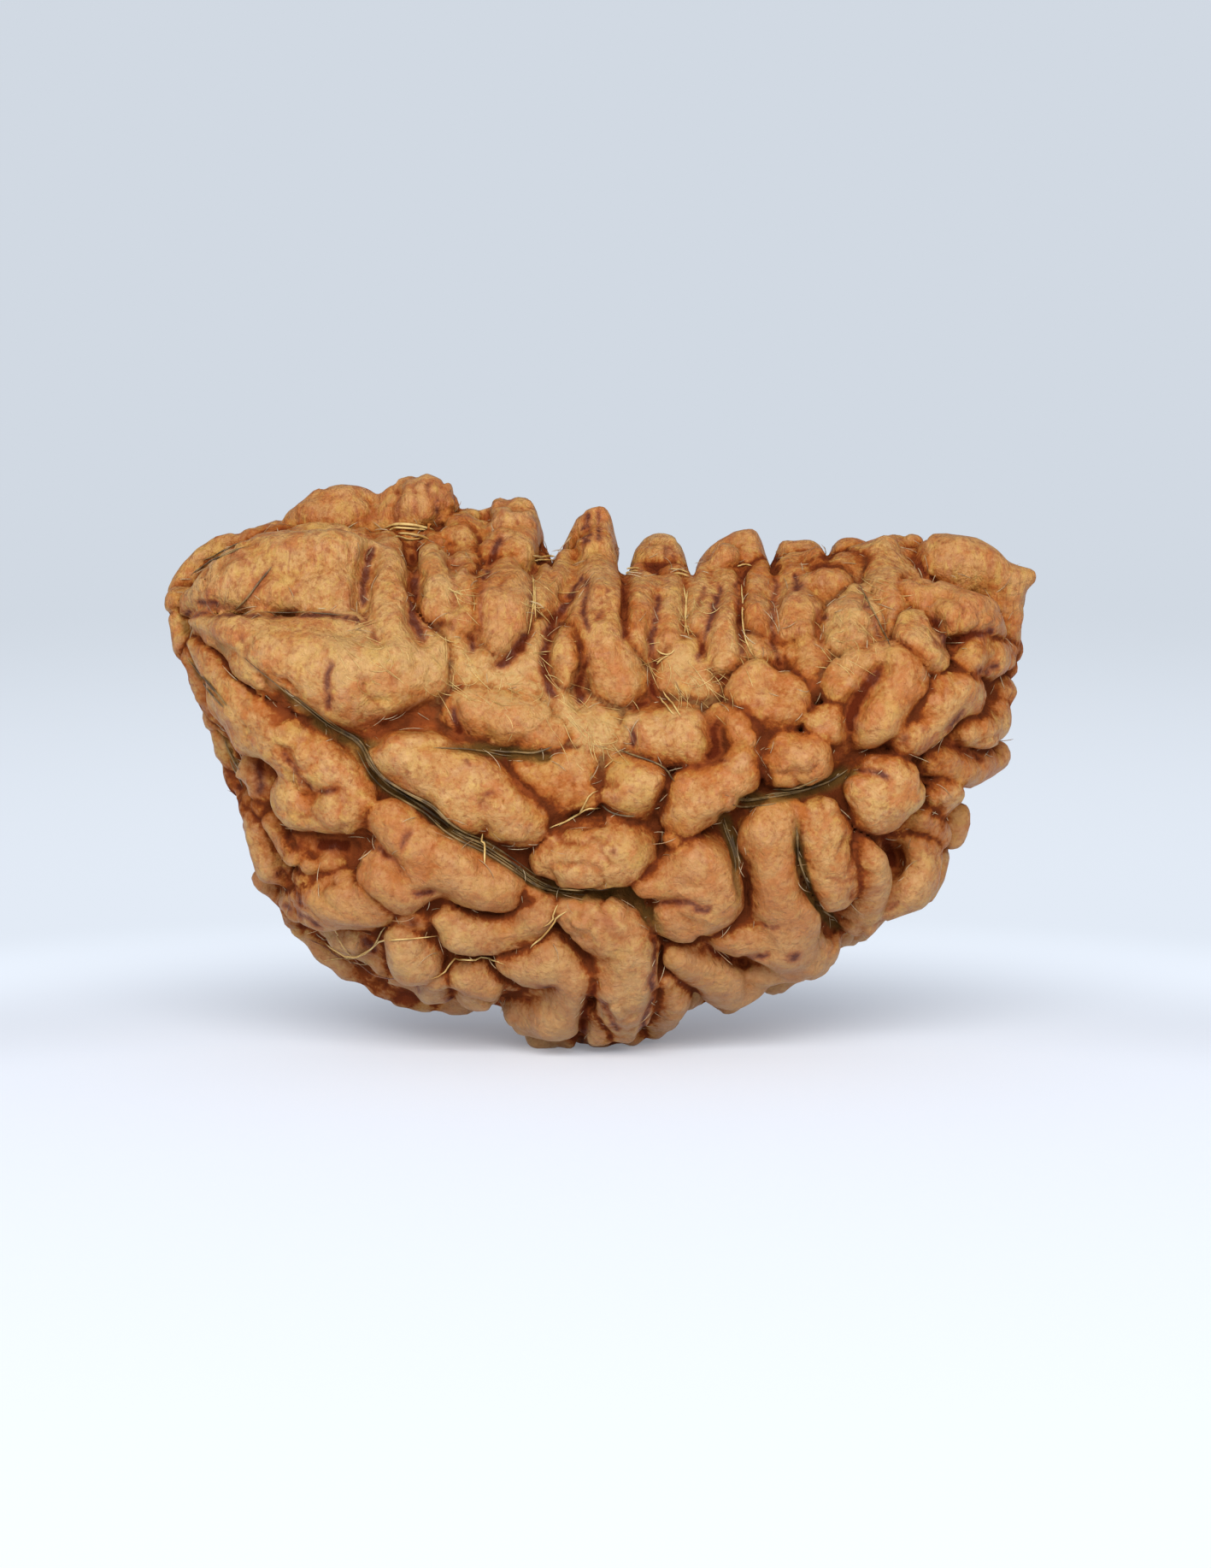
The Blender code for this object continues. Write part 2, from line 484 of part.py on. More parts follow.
def floor_cutter(collection):
    """The block under the floor plane that flattens the foot."""
    bm = bmesh.new()
    bmesh.ops.create_cube(bm, size=CUTTER_SIZE * MM)
    mesh = bpy.data.meshes.new("floor_cutter")
    bm.to_mesh(mesh)
    bm.free()
    cutter = bpy.data.objects.new("floor_cutter", mesh)
    cutter.location.z = -0.5 * CUTTER_SIZE * MM
    cutter.hide_render = True
    cutter.display_type = "WIRE"
    collection.objects.link(cutter)
    return cutter


def build():
    for obj in list(bpy.data.objects):
        bpy.data.objects.remove(obj, do_unlink=True)
    scene = bpy.context.scene
    parts = bpy.data.collections.new("rudraksha_seed")
    helpers = bpy.data.collections.new("helpers")
    scene.collection.children.link(parts)
    scene.collection.children.link(helpers)

    rng = random.Random(FILLING_SEED)
    lobes = listed_lobes()
    lobes += list(back_lobes())
    lobes += list(back_teeth(rng))
    lobes += filling_lobes(rng, lobes)
    lobes += list(foot_knobs())

    bm = bmesh.new()
    core_mesh(bm)
    for lobe in lobes:
        add_lobe(bm, lobe)
    mesh = bpy.data.meshes.new("rudraksha_seed")
    bm.to_mesh(mesh)
    bm.free()
    seed = bpy.data.objects.new("rudraksha_seed", mesh)
    parts.objects.link(seed)

    remesh = seed.modifiers.new("grow_together", "REMESH")
    remesh.mode = "VOXEL"
    remesh.voxel_size = VOXEL * MM
    seed.data = evaluated_copy(seed, "rudraksha_seed")
    seed.modifiers.clear()
    keep_outer_shell(seed.data)

    smooth = seed.modifiers.new("worn_smooth", "SMOOTH")
    smooth.factor = 0.5
    smooth.iterations = SMOOTHING_ROUNDS
    decimate = seed.modifiers.new("fewer_faces", "DECIMATE")
    decimate.ratio = FACE_COUNT / (2 * len(seed.data.polygons))
    foot = seed.modifiers.new("flat_foot", "BOOLEAN")
    foot.operation = "DIFFERENCE"
    foot.solver = "EXACT"
    foot.object = floor_cutter(helpers)
    seed.data.materials.clear()
    seed.data.materials.append(seed_material())
    seed.data.shade_smooth()


build()
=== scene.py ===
# Half-moon rudraksha seed standing on its curved edge, in a plain light tent.
# The seed is worked out in millimetres and goes to metres when its mesh is made.
# x runs to the blunt end, the face we see looks to -y, z is up.
import math

import bpy
import numpy as np
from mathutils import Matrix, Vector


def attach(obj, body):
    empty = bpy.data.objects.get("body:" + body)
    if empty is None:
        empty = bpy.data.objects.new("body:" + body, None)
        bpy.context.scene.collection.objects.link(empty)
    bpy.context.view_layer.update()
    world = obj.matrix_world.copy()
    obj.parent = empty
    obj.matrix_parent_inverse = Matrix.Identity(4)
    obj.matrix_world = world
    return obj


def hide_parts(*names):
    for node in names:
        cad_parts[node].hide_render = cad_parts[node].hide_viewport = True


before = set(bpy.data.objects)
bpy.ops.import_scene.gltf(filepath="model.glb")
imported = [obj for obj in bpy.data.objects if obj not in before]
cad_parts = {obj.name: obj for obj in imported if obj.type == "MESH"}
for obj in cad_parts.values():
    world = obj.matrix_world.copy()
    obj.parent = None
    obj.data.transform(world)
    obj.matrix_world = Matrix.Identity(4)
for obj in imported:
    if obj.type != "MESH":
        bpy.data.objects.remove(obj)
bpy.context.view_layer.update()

mm = .001

# camera: the lobes below are listed as this camera sees them, so it comes first
view = {
    "elevation": math.radians(7),
    "distance": 141.5,
    "lens": 100,
    "clip": (.005, 20),         # metres
    "aim": (.236, 8.594),       # x and z it looks at
    "pictureAim": (.236, 8.53),  # the same point in the listed x and z
    "depths": (-7, 6, .06),     # y that its rays are followed through, and the step
    "tries": 8,                 # times a lobe's depth is worked out again
}

ahead = np.array([0, math.cos(view["elevation"]), -math.sin(view["elevation"])])
above = np.array([0, math.sin(view["elevation"]), math.cos(view["elevation"])])
aim = np.array([view["aim"][0], 0, view["aim"][1]])
eye = aim - ahead * view["distance"]

stone = {
    "halfThickness": 4.7,
    "edgeRounding": 6.4,
    "coreRise": -.02,           # the body under the lobes, against its outline
    "groupBlend": .34, "lobeBlend": .1, "coreBlend": .36,
    "standsOut": .42, "sinksIn": .42,   # how far lobes stand out, and how much less for fat ones
    "standsOutFull": 1.5,       # mm from the outline where they do so in full
    "teethSink": .2,
    "seamSlant": .3,            # mm the back stands higher, per mm of depth
    "slantFrom": 9, "slantFull": 15,
    "swell": 1.06, "swellMore": .1, "swellAtRim": .6, "swellFull": 1.6,
    "wander": .14, "fineWander": .35,   # how far the lobes wander off their line
    "lumps": .13, "fineLumps": .4,      # soft unevenness of the skin
    "dents": .15, "dentWidth": .22,     # narrow wrinkles that run over the lobes
    "fineRumple": .35, "dentsIn": .45,
    "creaseDepth": .16, "creaseWidth": .12,
    "creaseFade": .65, "creaseSpread": .7, "creaseLeast": .15,   # creases come and go
    "frontEnds": .8, "frontFadesOver": 1.2,   # depth y where the front's levels end
    "fusedBlend": 1.15, "fusedFrom": 11.2, "fusedFull": 13.2,   # lobes of the upper half share one skin
    "fusedCrease": .34, "pressedBlend": .42,
    "fusedTop": (15.2, 16.0), "fusedEnd": (11.6, 12.8),   # no further than this up and along
    "lobeReach": .9,            # how far round a lobe its distance is worked out
    "gridStep": .1, "gridLow": (-15.2, -7.2, -1.2), "gridHigh": (15.2, 7.2, 19.8),
    "smoothing": .5,
    "triangles": 190000,
    "seed": 7,
}

# soft random fields in the stone: size of their lumps in mm, seed
lumpiness = {
    "wander": (1.5, 20), "fineWander": (.7, 30), "lumps": (.9, 40), "fineLumps": (.4, 41),
    "fade": (1.3, 42), "rumple": (.75, 43), "fineRumple": (.35, 44), "dented": (1.7, 45),
}

# outline of the smooth body under the lobes
outline = [
    (-13.6, 14.0), (-13.0, 15.0), (-12.0, 15.7), (-10.6, 16.1), (-9.0, 16.3), (-7.5, 16.2),
    (-6.0, 16.1), (-4.0, 16.0), (-2.5, 15.8), (-1.0, 15.5), (.5, 15.2), (2.0, 15.0),
    (3.5, 14.9), (5.0, 15.0), (6.5, 15.1), (8.0, 15.2), (9.5, 15.3), (11.0, 15.4),
    (12.4, 15.1), (13.0, 14.5), (12.95, 13.4), (12.8, 12.2), (12.6, 11.0), (12.5, 9.8),
    (11.9, 8.8), (11.3, 7.6), (10.9, 6.4), (10.4, 5.2), (9.4, 4.4), (8.2, 3.9),
    (7.2, 3.1), (6.0, 2.5), (4.6, 2.1), (3.2, 1.8), (2.2, 1.1), (1.2, .6),
    (0, .5), (-1.5, .7), (-2.8, 1.2), (-4.2, 1.5), (-5.8, 1.7), (-7.2, 2.3),
    (-8.4, 3.0), (-9.4, 3.9), (-10.2, 4.8), (-10.8, 5.9), (-11.1, 7.2), (-11.4, 8.4),
    (-12.0, 9.8), (-12.5, 11.1), (-13.1, 12.6),
]

# front lobes: lift off the body, then x, z, radius along each; those in one list have grown together
pointedEnd = [
    [(0, (-13.45, 14.35, .25), (-12.7, 14.75, .5), (-11.8, 15.15, .82), (-10.8, 15.4, 1.1),
      (-9.8, 15.55, 1.2), (-8.9, 15.6, 1.2), (-8.3, 15.6, 1.0)),
     (-.05, (-12.5, 14.48, .28), (-11.5, 14.58, .42), (-10.5, 14.66, .5), (-9.5, 14.72, .55),
      (-8.7, 14.76, .55)),
     (-.3, (-7.6, 16.0, .52), (-7.65, 15.4, .6), (-7.8, 14.9, .6), (-8.3, 14.45, .5)),
     (-.1, (-12.4, 15.45, .3), (-11.6, 15.75, .42), (-10.7, 16.1, .5), (-9.7, 16.3, .6),
      (-8.6, 16.35, .62), (-7.7, 16.35, .55)),
     (0, (-6.95, 16.4, .48), (-6.88, 15.7, .56), (-6.85, 14.9, .58), (-6.8, 14.1, .62),
      (-6.7, 13.4, .7), (-6.6, 12.6, .8)),
     (0, (-13.2, 13.85, .2), (-12.6, 13.72, .3), (-11.9, 13.4, .5), (-11.2, 13.05, .78),
      (-10.4, 12.7, 1.0), (-9.6, 12.3, 1.15), (-8.7, 12.1, 1.28), (-7.8, 11.95, 1.3),
      (-7.0, 11.95, 1.2), (-6.2, 12.05, 1.0), (-5.8, 12.0, .8)),
     (-.1, (-11.9, 13.66, .25), (-10.6, 13.58, .42), (-9.6, 13.5, .52), (-8.7, 13.42, .6),
      (-7.9, 13.4, .66)),
     (-.35, (-6.2, 12.9, .7), (-5.4, 12.5, .7))],
]
# the same end on the back, lower along the seam
pointedBack = [
    [(0, (-13.3, 14.3, .25), (-12.4, 14.6, .55), (-11.4, 14.8, .85), (-10.3, 14.85, 1.1),
      (-9.2, 14.9, 1.2), (-8.2, 14.9, 1.1))],
    [(0, (-12.6, 13.65, .28), (-11.9, 13.2, .52), (-11.2, 12.9, .8), (-10.4, 12.5, 1.0),
      (-9.6, 12.2, 1.2), (-8.7, 12.0, 1.32), (-7.8, 11.9, 1.35), (-7.0, 11.95, 1.2),
      (-6.2, 12.0, 1.0)),
     (-.15, (-10.4, 13.2, .42), (-9.4, 13.1, .55), (-8.5, 13.0, .6))],
]
frontTeeth = [
    [(0, (-5.35, 16.25, .5), (-5.25, 15.4, .62), (-5.2, 14.7, .58), (-5.2, 14.2, .42)),
     (-.1, (-4.5, 16.5, .5), (-4.3, 15.8, .5), (-4.25, 15.0, .5), (-4.25, 14.2, .46),
      (-4.3, 13.5, .4))],
    [(0, (-3.1, 15.3, .6), (-3.05, 14.9, .74), (-3.05, 14.1, .8), (-3.1, 13.5, .72),
      (-3.2, 13.0, .5)),
     (0, (-3.55, 15.0, .5), (-3.6, 14.2, .5), (-3.6, 13.6, .4)),
     (0, (-2.65, 15.0, .5), (-2.6, 14.2, .5))],
    [(-.05, (-1.2, 15.7, .42), (-1.5, 15.1, .48), (-1.75, 14.5, .38), (-1.85, 14.15, .28)),
     (0, (-.1, 16.2, .5), (-.1, 15.6, .64), (.02, 14.9, .7), (.12, 14.1, .72), (.17, 13.3, .72),
      (.3, 12.5, .76), (.6, 11.9, .66)),
     (-.1, (-.6, 14.6, .35), (-.55, 13.8, .42), (-.35, 13.0, .5))],
    (-.1, (-1.15, 13.1, .36), (-1.2, 12.5, .46), (-1.1, 11.8, .42)),
    [(-.35, (-2.0, 13.4, .42), (-2.1, 12.7, .5), (-2.3, 12.1, .55)),
     (-.45, (-4.7, 12.9, .67), (-4.2, 12.2, .8), (-3.4, 11.95, .8), (-2.6, 11.7, .8)),
     (-.45, (-1.5, 11.2, .7), (-.7, 10.6, .8), (.2, 10.4, .6)),
     (-.45, (-2.2, 9.6, .5), (-1.2, 9.7, .65), (-.3, 9.9, .65))],
    [(0, (1.45, 15.25, .5), (1.4, 14.5, .55), (1.38, 13.7, .5), (1.42, 13.0, .4)),
     (0, (2.3, 15.2, .4), (2.35, 14.4, .42), (2.3, 13.7, .38), (2.25, 13.2, .3))],
    [(-.05, (3.3, 15.2, .4), (3.3, 14.4, .4), (3.15, 13.6, .34)),
     (0, (4.1, 15.9, .45), (4.1, 15.2, .48), (4.15, 14.4, .46), (4.1, 13.6, .48),
      (4.05, 12.9, .55), (4.15, 12.4, .5))],
    [(0, (5.2, 15.3, .42), (5.15, 14.6, .46), (5.15, 13.9, .44), (5.3, 13.4, .36)),
     (0, (6.35, 15.5, .55), (6.4, 14.7, .58), (6.45, 14.0, .58), (6.45, 13.5, .46)),
     (0, (7.2, 15.6, .6), (7.55, 15.15, .68), (7.55, 14.85, .6))],
    [(-.2, (8.5, 14.4, .42), (8.3, 13.7, .75), (8.2, 13.1, .8), (8.5, 12.9, .7)),
     (-.3, (8.9, 13.6, .5), (9.1, 13.1, .42))],
    [(0, (9.25, 15.9, .62), (9.4, 15.1, .68), (9.55, 14.6, .56), (9.62, 14.1, .42),
      (9.6, 13.5, .36)),
     (-.15, (8.6, 15.8, .5), (8.5, 15.2, .42)), (-.15, (9.9, 15.6, .5), (10.0, 15.0, .42))],
    (-.15, (6.75, 12.6, .48), (6.85, 12.0, .5), (6.9, 11.6, .4)),
    (-.25, (5.1, 12.8, .42), (5.4, 12.5, .42)),
    [(-.35, (2.8, 12.5, .5), (3.1, 12.0, .55), (2.9, 11.5, .5)),
     (-.4, (2.2, 11.9, .42), (4.2, 11.5, .5))],
]
bluntEnd = [
    [(0, (11.1, 15.75, .7), (11.7, 15.8, .85), (12.3, 15.5, .8), (12.9, 15.2, .62),
      (13.5, 15.2, .38), (13.85, 15.25, .18)),
     (-.1, (13.05, 14.6, .5), (13.1, 14.0, .45))],
    [(0, (10.0, 14.6, .42), (10.6, 14.5, .52), (11.2, 14.45, .6), (11.8, 14.2, .65),
      (12.4, 13.9, .62), (12.8, 13.6, .5)),
     (.05, (11.55, 13.9, .5), (11.75, 13.75, .4))],
    (0, (10.2, 13.5, .52), (10.4, 12.95, .72), (10.5, 12.85, .66)),
    (0, (12.1, 12.75, .6), (12.7, 12.8, .62), (13.1, 12.7, .5)),
    [(0, (7.75, 11.6, .5), (8.2, 11.85, .56), (8.8, 12.15, .52), (9.4, 12.25, .58)),
     (.05, (9.7, 12.1, .72), (9.6, 11.5, .8), (9.15, 10.85, .8), (8.95, 10.6, .7))],
    [(.05, (9.95, 10.2, .52), (10.4, 10.5, .65), (10.9, 10.95, .75), (11.4, 11.3, .78),
      (11.9, 11.3, .68), (12.15, 11.0, .5))],
    (0, (11.9, 10.2, .6), (12.35, 10.4, .76), (12.75, 10.85, .55)),
    [(-.2, (10.8, 9.45, .45), (11.5, 9.2, .66), (12.2, 9.2, .72), (12.75, 9.4, .55))],
    (0, (10.95, 8.4, .63), (11.05, 8.15, .65)),
    [(.2, (9.3, 8.72, .85), (9.3, 8.2, .98), (9.0, 8.15, .92), (8.6, 8.3, .66))],
    [(-.05, (10.4, 7.4, .5), (10.85, 6.95, .45)), (-.05, (11.6, 7.4, .48), (11.5, 6.95, .42))],
    [(0, (10.3, 6.6, .4), (10.4, 5.95, .72), (10.15, 5.35, .78), (9.75, 4.95, .66),
      (9.3, 4.6, .5)),
     (0, (8.55, 6.55, .36), (8.7, 5.95, .5), (8.8, 5.35, .58), (8.75, 4.8, .62), (8.5, 4.3, .6))],
    (.1, (7.2, 7.45, .55), (7.25, 6.9, .76), (7.3, 6.3, .84), (7.5, 5.75, .78), (7.65, 5.25, .64)),
]
middle = [
    (0, (-4.05, 10.7, .66), (-3.1, 10.55, .76), (-2.2, 10.35, .68), (-1.75, 10.25, .5)),
    (.1, (-6.7, 9.5, .55), (-6.1, 9.3, .75), (-5.3, 9.0, .95), (-4.6, 8.6, 1.1),
     (-3.9, 8.2, 1.14), (-3.2, 7.75, 1.12), (-2.6, 7.5, 1.0)),
    [(-.1, (-2.3, 9.0, .5), (-1.8, 8.7, .72), (-1.4, 8.1, .62), (-1.3, 7.6, .42)),
     (-.1, (-1.0, 8.9, .7), (-.5, 8.6, .6), (-.35, 8.2, .42))],
    (.05, (1.05, 8.5, .93), (1.25, 8.45, .9)),
    (-.05, (1.5, 10.2, .7), (2.4, 10.05, .9), (3.1, 9.9, .85), (3.2, 9.6, .7)),
    (.1, (3.9, 10.55, .42), (4.45, 10.4, .58), (4.75, 9.9, .58), (4.7, 9.3, .62), (4.3, 8.8, .74),
     (3.7, 8.4, .84), (3.1, 8.0, .84), (2.8, 7.75, .72)),
    (.1, (6.05, 9.35, .8), (6.7, 9.3, .83)),
    (0, (7.25, 10.4, .5), (7.55, 10.42, .56)),
    [(-.1, (4.9, 11.5, .6), (5.5, 11.7, .62), (6.1, 11.4, .6)),
     (0, (5.0, 10.95, .62), (5.6, 10.85, .72), (6.1, 10.9, .6))],
    [(0, (-1.75, 6.0, .36), (-1.35, 6.15, .6), (-.8, 6.3, .95), (0, 6.45, 1.1), (.65, 6.45, 1.0),
      (.95, 6.5, .8))],
    [(.05, (2.95, 6.2, .72), (3.25, 5.9, .86), (3.5, 5.3, .9), (3.7, 4.9, .75)),
     (.05, (1.6, 5.25, .35), (2.2, 5.4, .6), (3.0, 5.4, .8)),
     (.05, (2.3, 4.25, .5), (2.9, 4.25, .58), (3.5, 4.4, .64), (3.8, 4.8, .62))],
    (.15, (2.35, 6.8, .2)),
]
pointedSide = [
    [(0, (-12.9, 12.85, .28), (-12.2, 12.15, .55), (-11.4, 11.35, .82), (-10.6, 10.6, .95),
      (-9.8, 9.9, 1.0), (-9.0, 9.25, 1.0), (-8.4, 8.7, .92), (-8.05, 8.3, .82)),
     (0, (-11.7, 11.1, .7), (-11.2, 10.5, .85), (-11.0, 10.15, .85)),
     (0, (-9.95, 8.35, .5), (-9.7, 7.95, .75), (-9.1, 7.7, .8), (-8.5, 7.65, .76),
      (-8.0, 7.9, .76))],
    [(.1, (-6.75, 7.35, .6), (-6.3, 6.95, .75), (-5.8, 6.4, .88), (-5.1, 6.05, .92),
      (-4.3, 5.75, .95), (-3.6, 5.35, .95), (-3.3, 5.2, .85)),
     (.05, (-7.0, 6.0, .6), (-6.8, 5.6, .82), (-6.4, 5.35, .84), (-6.1, 5.35, .76))],
    (-.4, (-11.0, 8.9, .7), (-10.7, 8.4, .5)),
    (-.45, (-9.6, 6.6, .5), (-8.6, 6.3, .5)),
    (0, (-12.05, 9.45, .22), (-11.75, 8.8, .28), (-11.35, 8.2, .28), (-10.85, 7.7, .26)),
    (0, (-11.25, 7.9, .34), (-10.95, 7.2, .5), (-10.75, 6.5, .56), (-10.6, 5.9, .5)),
    (0, (-10.5, 7.2, .36), (-10.25, 6.7, .4), (-9.85, 6.3, .36), (-9.3, 6.05, .28)),
]
underside = [
    [(0, (-9.2, 4.8, .72), (-8.6, 4.7, .93), (-8.0, 4.75, .98), (-7.4, 4.8, .86), (-7.2, 5.1, .7))],
    (-.2, (-9.5, 5.55, .42), (-9.2, 5.5, .4)),
    (0, (-10.8, 5.35, .4), (-10.3, 4.9, .36), (-9.8, 4.5, .3)),
    (0, (-9.9, 4.1, .26), (-9.4, 3.65, .35), (-8.9, 3.25, .42), (-8.3, 2.85, .48), (-7.6, 2.5, .46),
     (-7.0, 2.2, .42), (-6.4, 1.95, .42)),
    (-.3, (-8.5, 3.45, .4), (-7.8, 3.4, .4)),
    (0, (-6.2, 3.5, .62), (-6.05, 3.1, .8), (-5.8, 3.0, .7)),
    (-.4, (-6.0, 4.3, .6)),
    (0, (-4.85, 4.15, .5), (-4.4, 3.85, .65), (-3.7, 3.72, .65), (-3.1, 3.72, .65), (-2.6, 3.95, .6),
     (-2.1, 4.3, .5), (-1.8, 4.45, .38)),
    (-.15, (-2.5, 4.9, .35), (-2.1, 4.95, .3)),
    [(.05, (-1.0, 4.35, .4), (-.5, 4.15, .65), (.2, 3.95, .88), (.75, 3.6, .96), (.92, 3.0, .96),
      (.9, 2.3, .94), (.88, 1.6, .88), (.92, 1.1, .74), (.95, .8, .58))],
    [(0, (-2.7, 2.75, .5), (-2.1, 2.85, .7), (-1.5, 3.0, .78), (-1.0, 2.75, .65), (-.7, 2.25, .55),
      (-.85, 1.65, .58), (-1.3, 1.15, .74), (-1.9, 1.05, .78), (-2.5, 1.2, .6))],
    (0, (0, 1.15, .34), (.08, .65, .48)),
    (0, (2.2, 2.3, .42), (2.25, 1.7, .55), (2.1, 1.15, .6), (1.85, .75, .48)),
    [(0, (-4.1, 2.5, .6), (-3.95, 1.9, .72), (-3.6, 2.2, .6))],
    [(0, (-5.2, 2.4, .45), (-5.3, 1.85, .5)), (0, (-6.3, 1.75, .4), (-5.6, 1.65, .44))],
    [(0, (2.55, 3.0, .45), (3.1, 2.7, .62), (3.7, 2.4, .75), (4.3, 2.15, .8), (4.9, 2.3, .72),
      (5.5, 2.6, .6), (5.9, 2.6, .6)),
     (0, (6.0, 3.6, .95), (6.5, 3.05, .98), (7.0, 3.2, .75)),
     (0, (5.6, 7.25, .65), (5.55, 6.85, .86), (5.6, 6.3, .76), (5.75, 5.6, .72), (5.9, 4.9, .8),
      (6.1, 4.3, .9)),
     (-.1, (4.0, 3.6, .42), (4.7, 3.6, .6), (5.3, 3.6, .6)),
     (0, (6.0, 7.4, .5), (6.2, 7.45, .42))],
]

# teeth behind the seam and lobes on the rim: depth y, then x, z, radius
backTeeth = [
    [(1.6, (-9.8, 16.6, .6), (-9.0, 17.15, .85), (-8.2, 17.3, .85), (-7.5, 17.0, .7)),
     (1.4, (-7.0, 17.1, .6), (-6.3, 17.4, .85), (-5.75, 17.6, .95), (-5.45, 17.3, .72))],
    [(1.4, (-4.25, 16.8, .6), (-3.9, 16.6, .6)),
     (1.4, (-3.1, 17.15, .68), (-2.4, 17.2, .65), (-2.25, 16.7, .6)),
     (.6, (-4.5, 16.75, .5), (-3.9, 16.6, .5)), (.7, (-3.1, 16.85, .64), (-2.4, 16.75, .62)),
     (0, (-3.3, 16.35, .6), (-2.5, 16.2, .58)), (-.7, (-3.4, 15.9, .55), (-2.6, 15.8, .5))],
    [(1.4, (-.75, 16.05, .42), (-.25, 16.6, .5), (.08, 16.98, .56), (.15, 16.3, .55)),
     (.7, (-.15, 16.0, .5), (.02, 16.5, .45))],
    [(1.4, (1.5, 15.0, .55), (1.6, 15.75, .58), (2.0, 15.95, .72)),
     (1.4, (2.0, 15.95, .72), (2.4, 15.8, .62), (2.45, 15.0, .6)),
     (.75, (1.45, 15.6, .5), (2.0, 15.85, .58), (2.5, 15.6, .5))],
    [(1.3, (3.7, 15.5, .5), (4.3, 15.9, .58), (4.8, 16.0, .62)), (1.2, (4.8, 16.0, .6), (4.8, 15.3, .6)),
     (.6, (3.9, 15.5, .45), (4.75, 15.75, .5))],
    [(1.3, (6.2, 15.9, .45), (6.6, 15.85, .5), (7.0, 15.75, .45)), (1.2, (6.5, 15.7, .5), (6.5, 15.2, .5))],
    [(1.3, (7.9, 15.85, .52), (8.4, 15.9, .5)), (1.2, (8.2, 15.8, .5), (8.2, 15.2, .5))],
    (1.3, (9.6, 16.05, .6), (10.1, 16.1, .56)),
]
rimLobes = [
    (-.15, (-7.4, 15.95, .4), (-6.0, 15.85, .4), (-4.7, 15.9, .4), (-3.6, 15.8, .36)),
    (-.15, (-2.1, 15.2, .36), (-1.0, 15.1, .36), (.9, 14.9, .36), (2.8, 14.75, .36),
     (4.6, 14.85, .36), (5.7, 15.05, .36), (7.0, 15.2, .4), (8.4, 15.25, .4), (9.8, 15.4, .4)),
    (.45, (-9.0, 16.1, .5), (-7.3, 16.25, .5), (-4.5, 16.2, .5), (-3, 15.85, .5), (-1.5, 15.3, .5),
     (.9, 14.7, .45), (3, 14.6, .45), (5.6, 15.1, .5), (8, 15.3, .5), (10.5, 15.5, .5)),
    (1.3, (-8.0, 16.2, .6), (-4.5, 16.4, .7), (-3, 16.0, .7), (-1.5, 15.2, .7), (.9, 14.6, .55),
     (3, 14.45, .55), (5.6, 15.1, .65), (8, 15.3, .6), (10.5, 15.5, .6)),
    (.6, (-13.5, 14.9, .25), (-12.95, 15.75, .3), (-12.2, 16.25, .3), (-11.2, 16.5, .3),
     (-10.2, 16.6, .4)),
    (-.3, (-13.5, 14.5, .42), (-13.55, 13.95, .4), (-13.45, 13.4, .4), (-13.15, 12.8, .35)),
    (-.9, (-13.05, 12.6, .3), (-12.7, 11.8, .36), (-12.35, 11.0, .4)),
    (-.3, (-12.9, 12.0, .36), (-12.45, 11.1, .42), (-12.2, 10.3, .44), (-11.95, 9.5, .42)),
    (.3, (-12.2, 10.0, .35), (-11.95, 9.3, .4), (-11.6, 8.6, .4)),
    (.7, (13.3, 14.7, .45), (13.1, 13.9, .5)),
    (.5, (13.1, 12.9, .55), (13.0, 12.4, .55), (12.6, 12.05, .45)),
    (.4, (11.0, 6.2, .42), (10.85, 5.6, .45), (10.5, 5.0, .5)),
    (.4, (3.6, 1.85, .3), (4.15, 1.6, .35), (4.6, 1.85, .35)),
]

# gaps between the tooth tops: x, z at the bottom, how fast they widen
notches = [
    (-1.5, 15.7, .3), (.95, 15.25, .26), (3.05, 15.2, .3), (5.6, 15.6, .32), (7.45, 15.85, .4),
]

# places where the front's skin lies higher between the lobes, or lower: x, z, size, rise
skinLevel = [
    (-4.8, 15.2, 1.2, .45), (-3.8, 14.6, 1.0, .4), (-1.9, 15.0, 1.0, .5), (-.6, 14.4, .8, .3),
    (1.0, 15.0, 1.0, .5), (2.8, 15.0, 1.0, .5), (4.7, 15.0, 1.0, .45), (5.9, 14.8, 1.0, .5),
    (7.2, 14.4, 1.0, .45), (8.5, 14.9, .9, .45), (10.0, 15.2, .8, .4),
    (-4.8, 13.6, 1.4, .5), (-1.6, 13.4, 1.4, .5), (1.6, 13.3, 1.2, .5), (3.6, 13.2, 1.2, .5),
    (5.6, 13.2, 1.0, .45), (7.4, 12.8, 1.0, .45), (9.0, 13.6, .9, .35),
    (-3.4, 11.9, 1.5, .6), (-.6, 10.6, 1.5, .65), (2.6, 12.0, 1.2, .5), (-1.6, 9.5, 1.0, .35),
    (-5.4, 12.6, 1.0, .3), (4.6, 12.0, .9, .25),
    (-9.2, 6.6, .9, -.7), (-11.1, 8.7, .7, -.5), (-6.0, 4.3, .7, -.3), (9.35, 6.4, .5, -.6),
    (-8.0, 10.2, .9, -.2), (4.2, 7.4, .7, -.3), (8.1, 9.4, .6, -.3), (5.9, 12.5, .25, -.4),
]

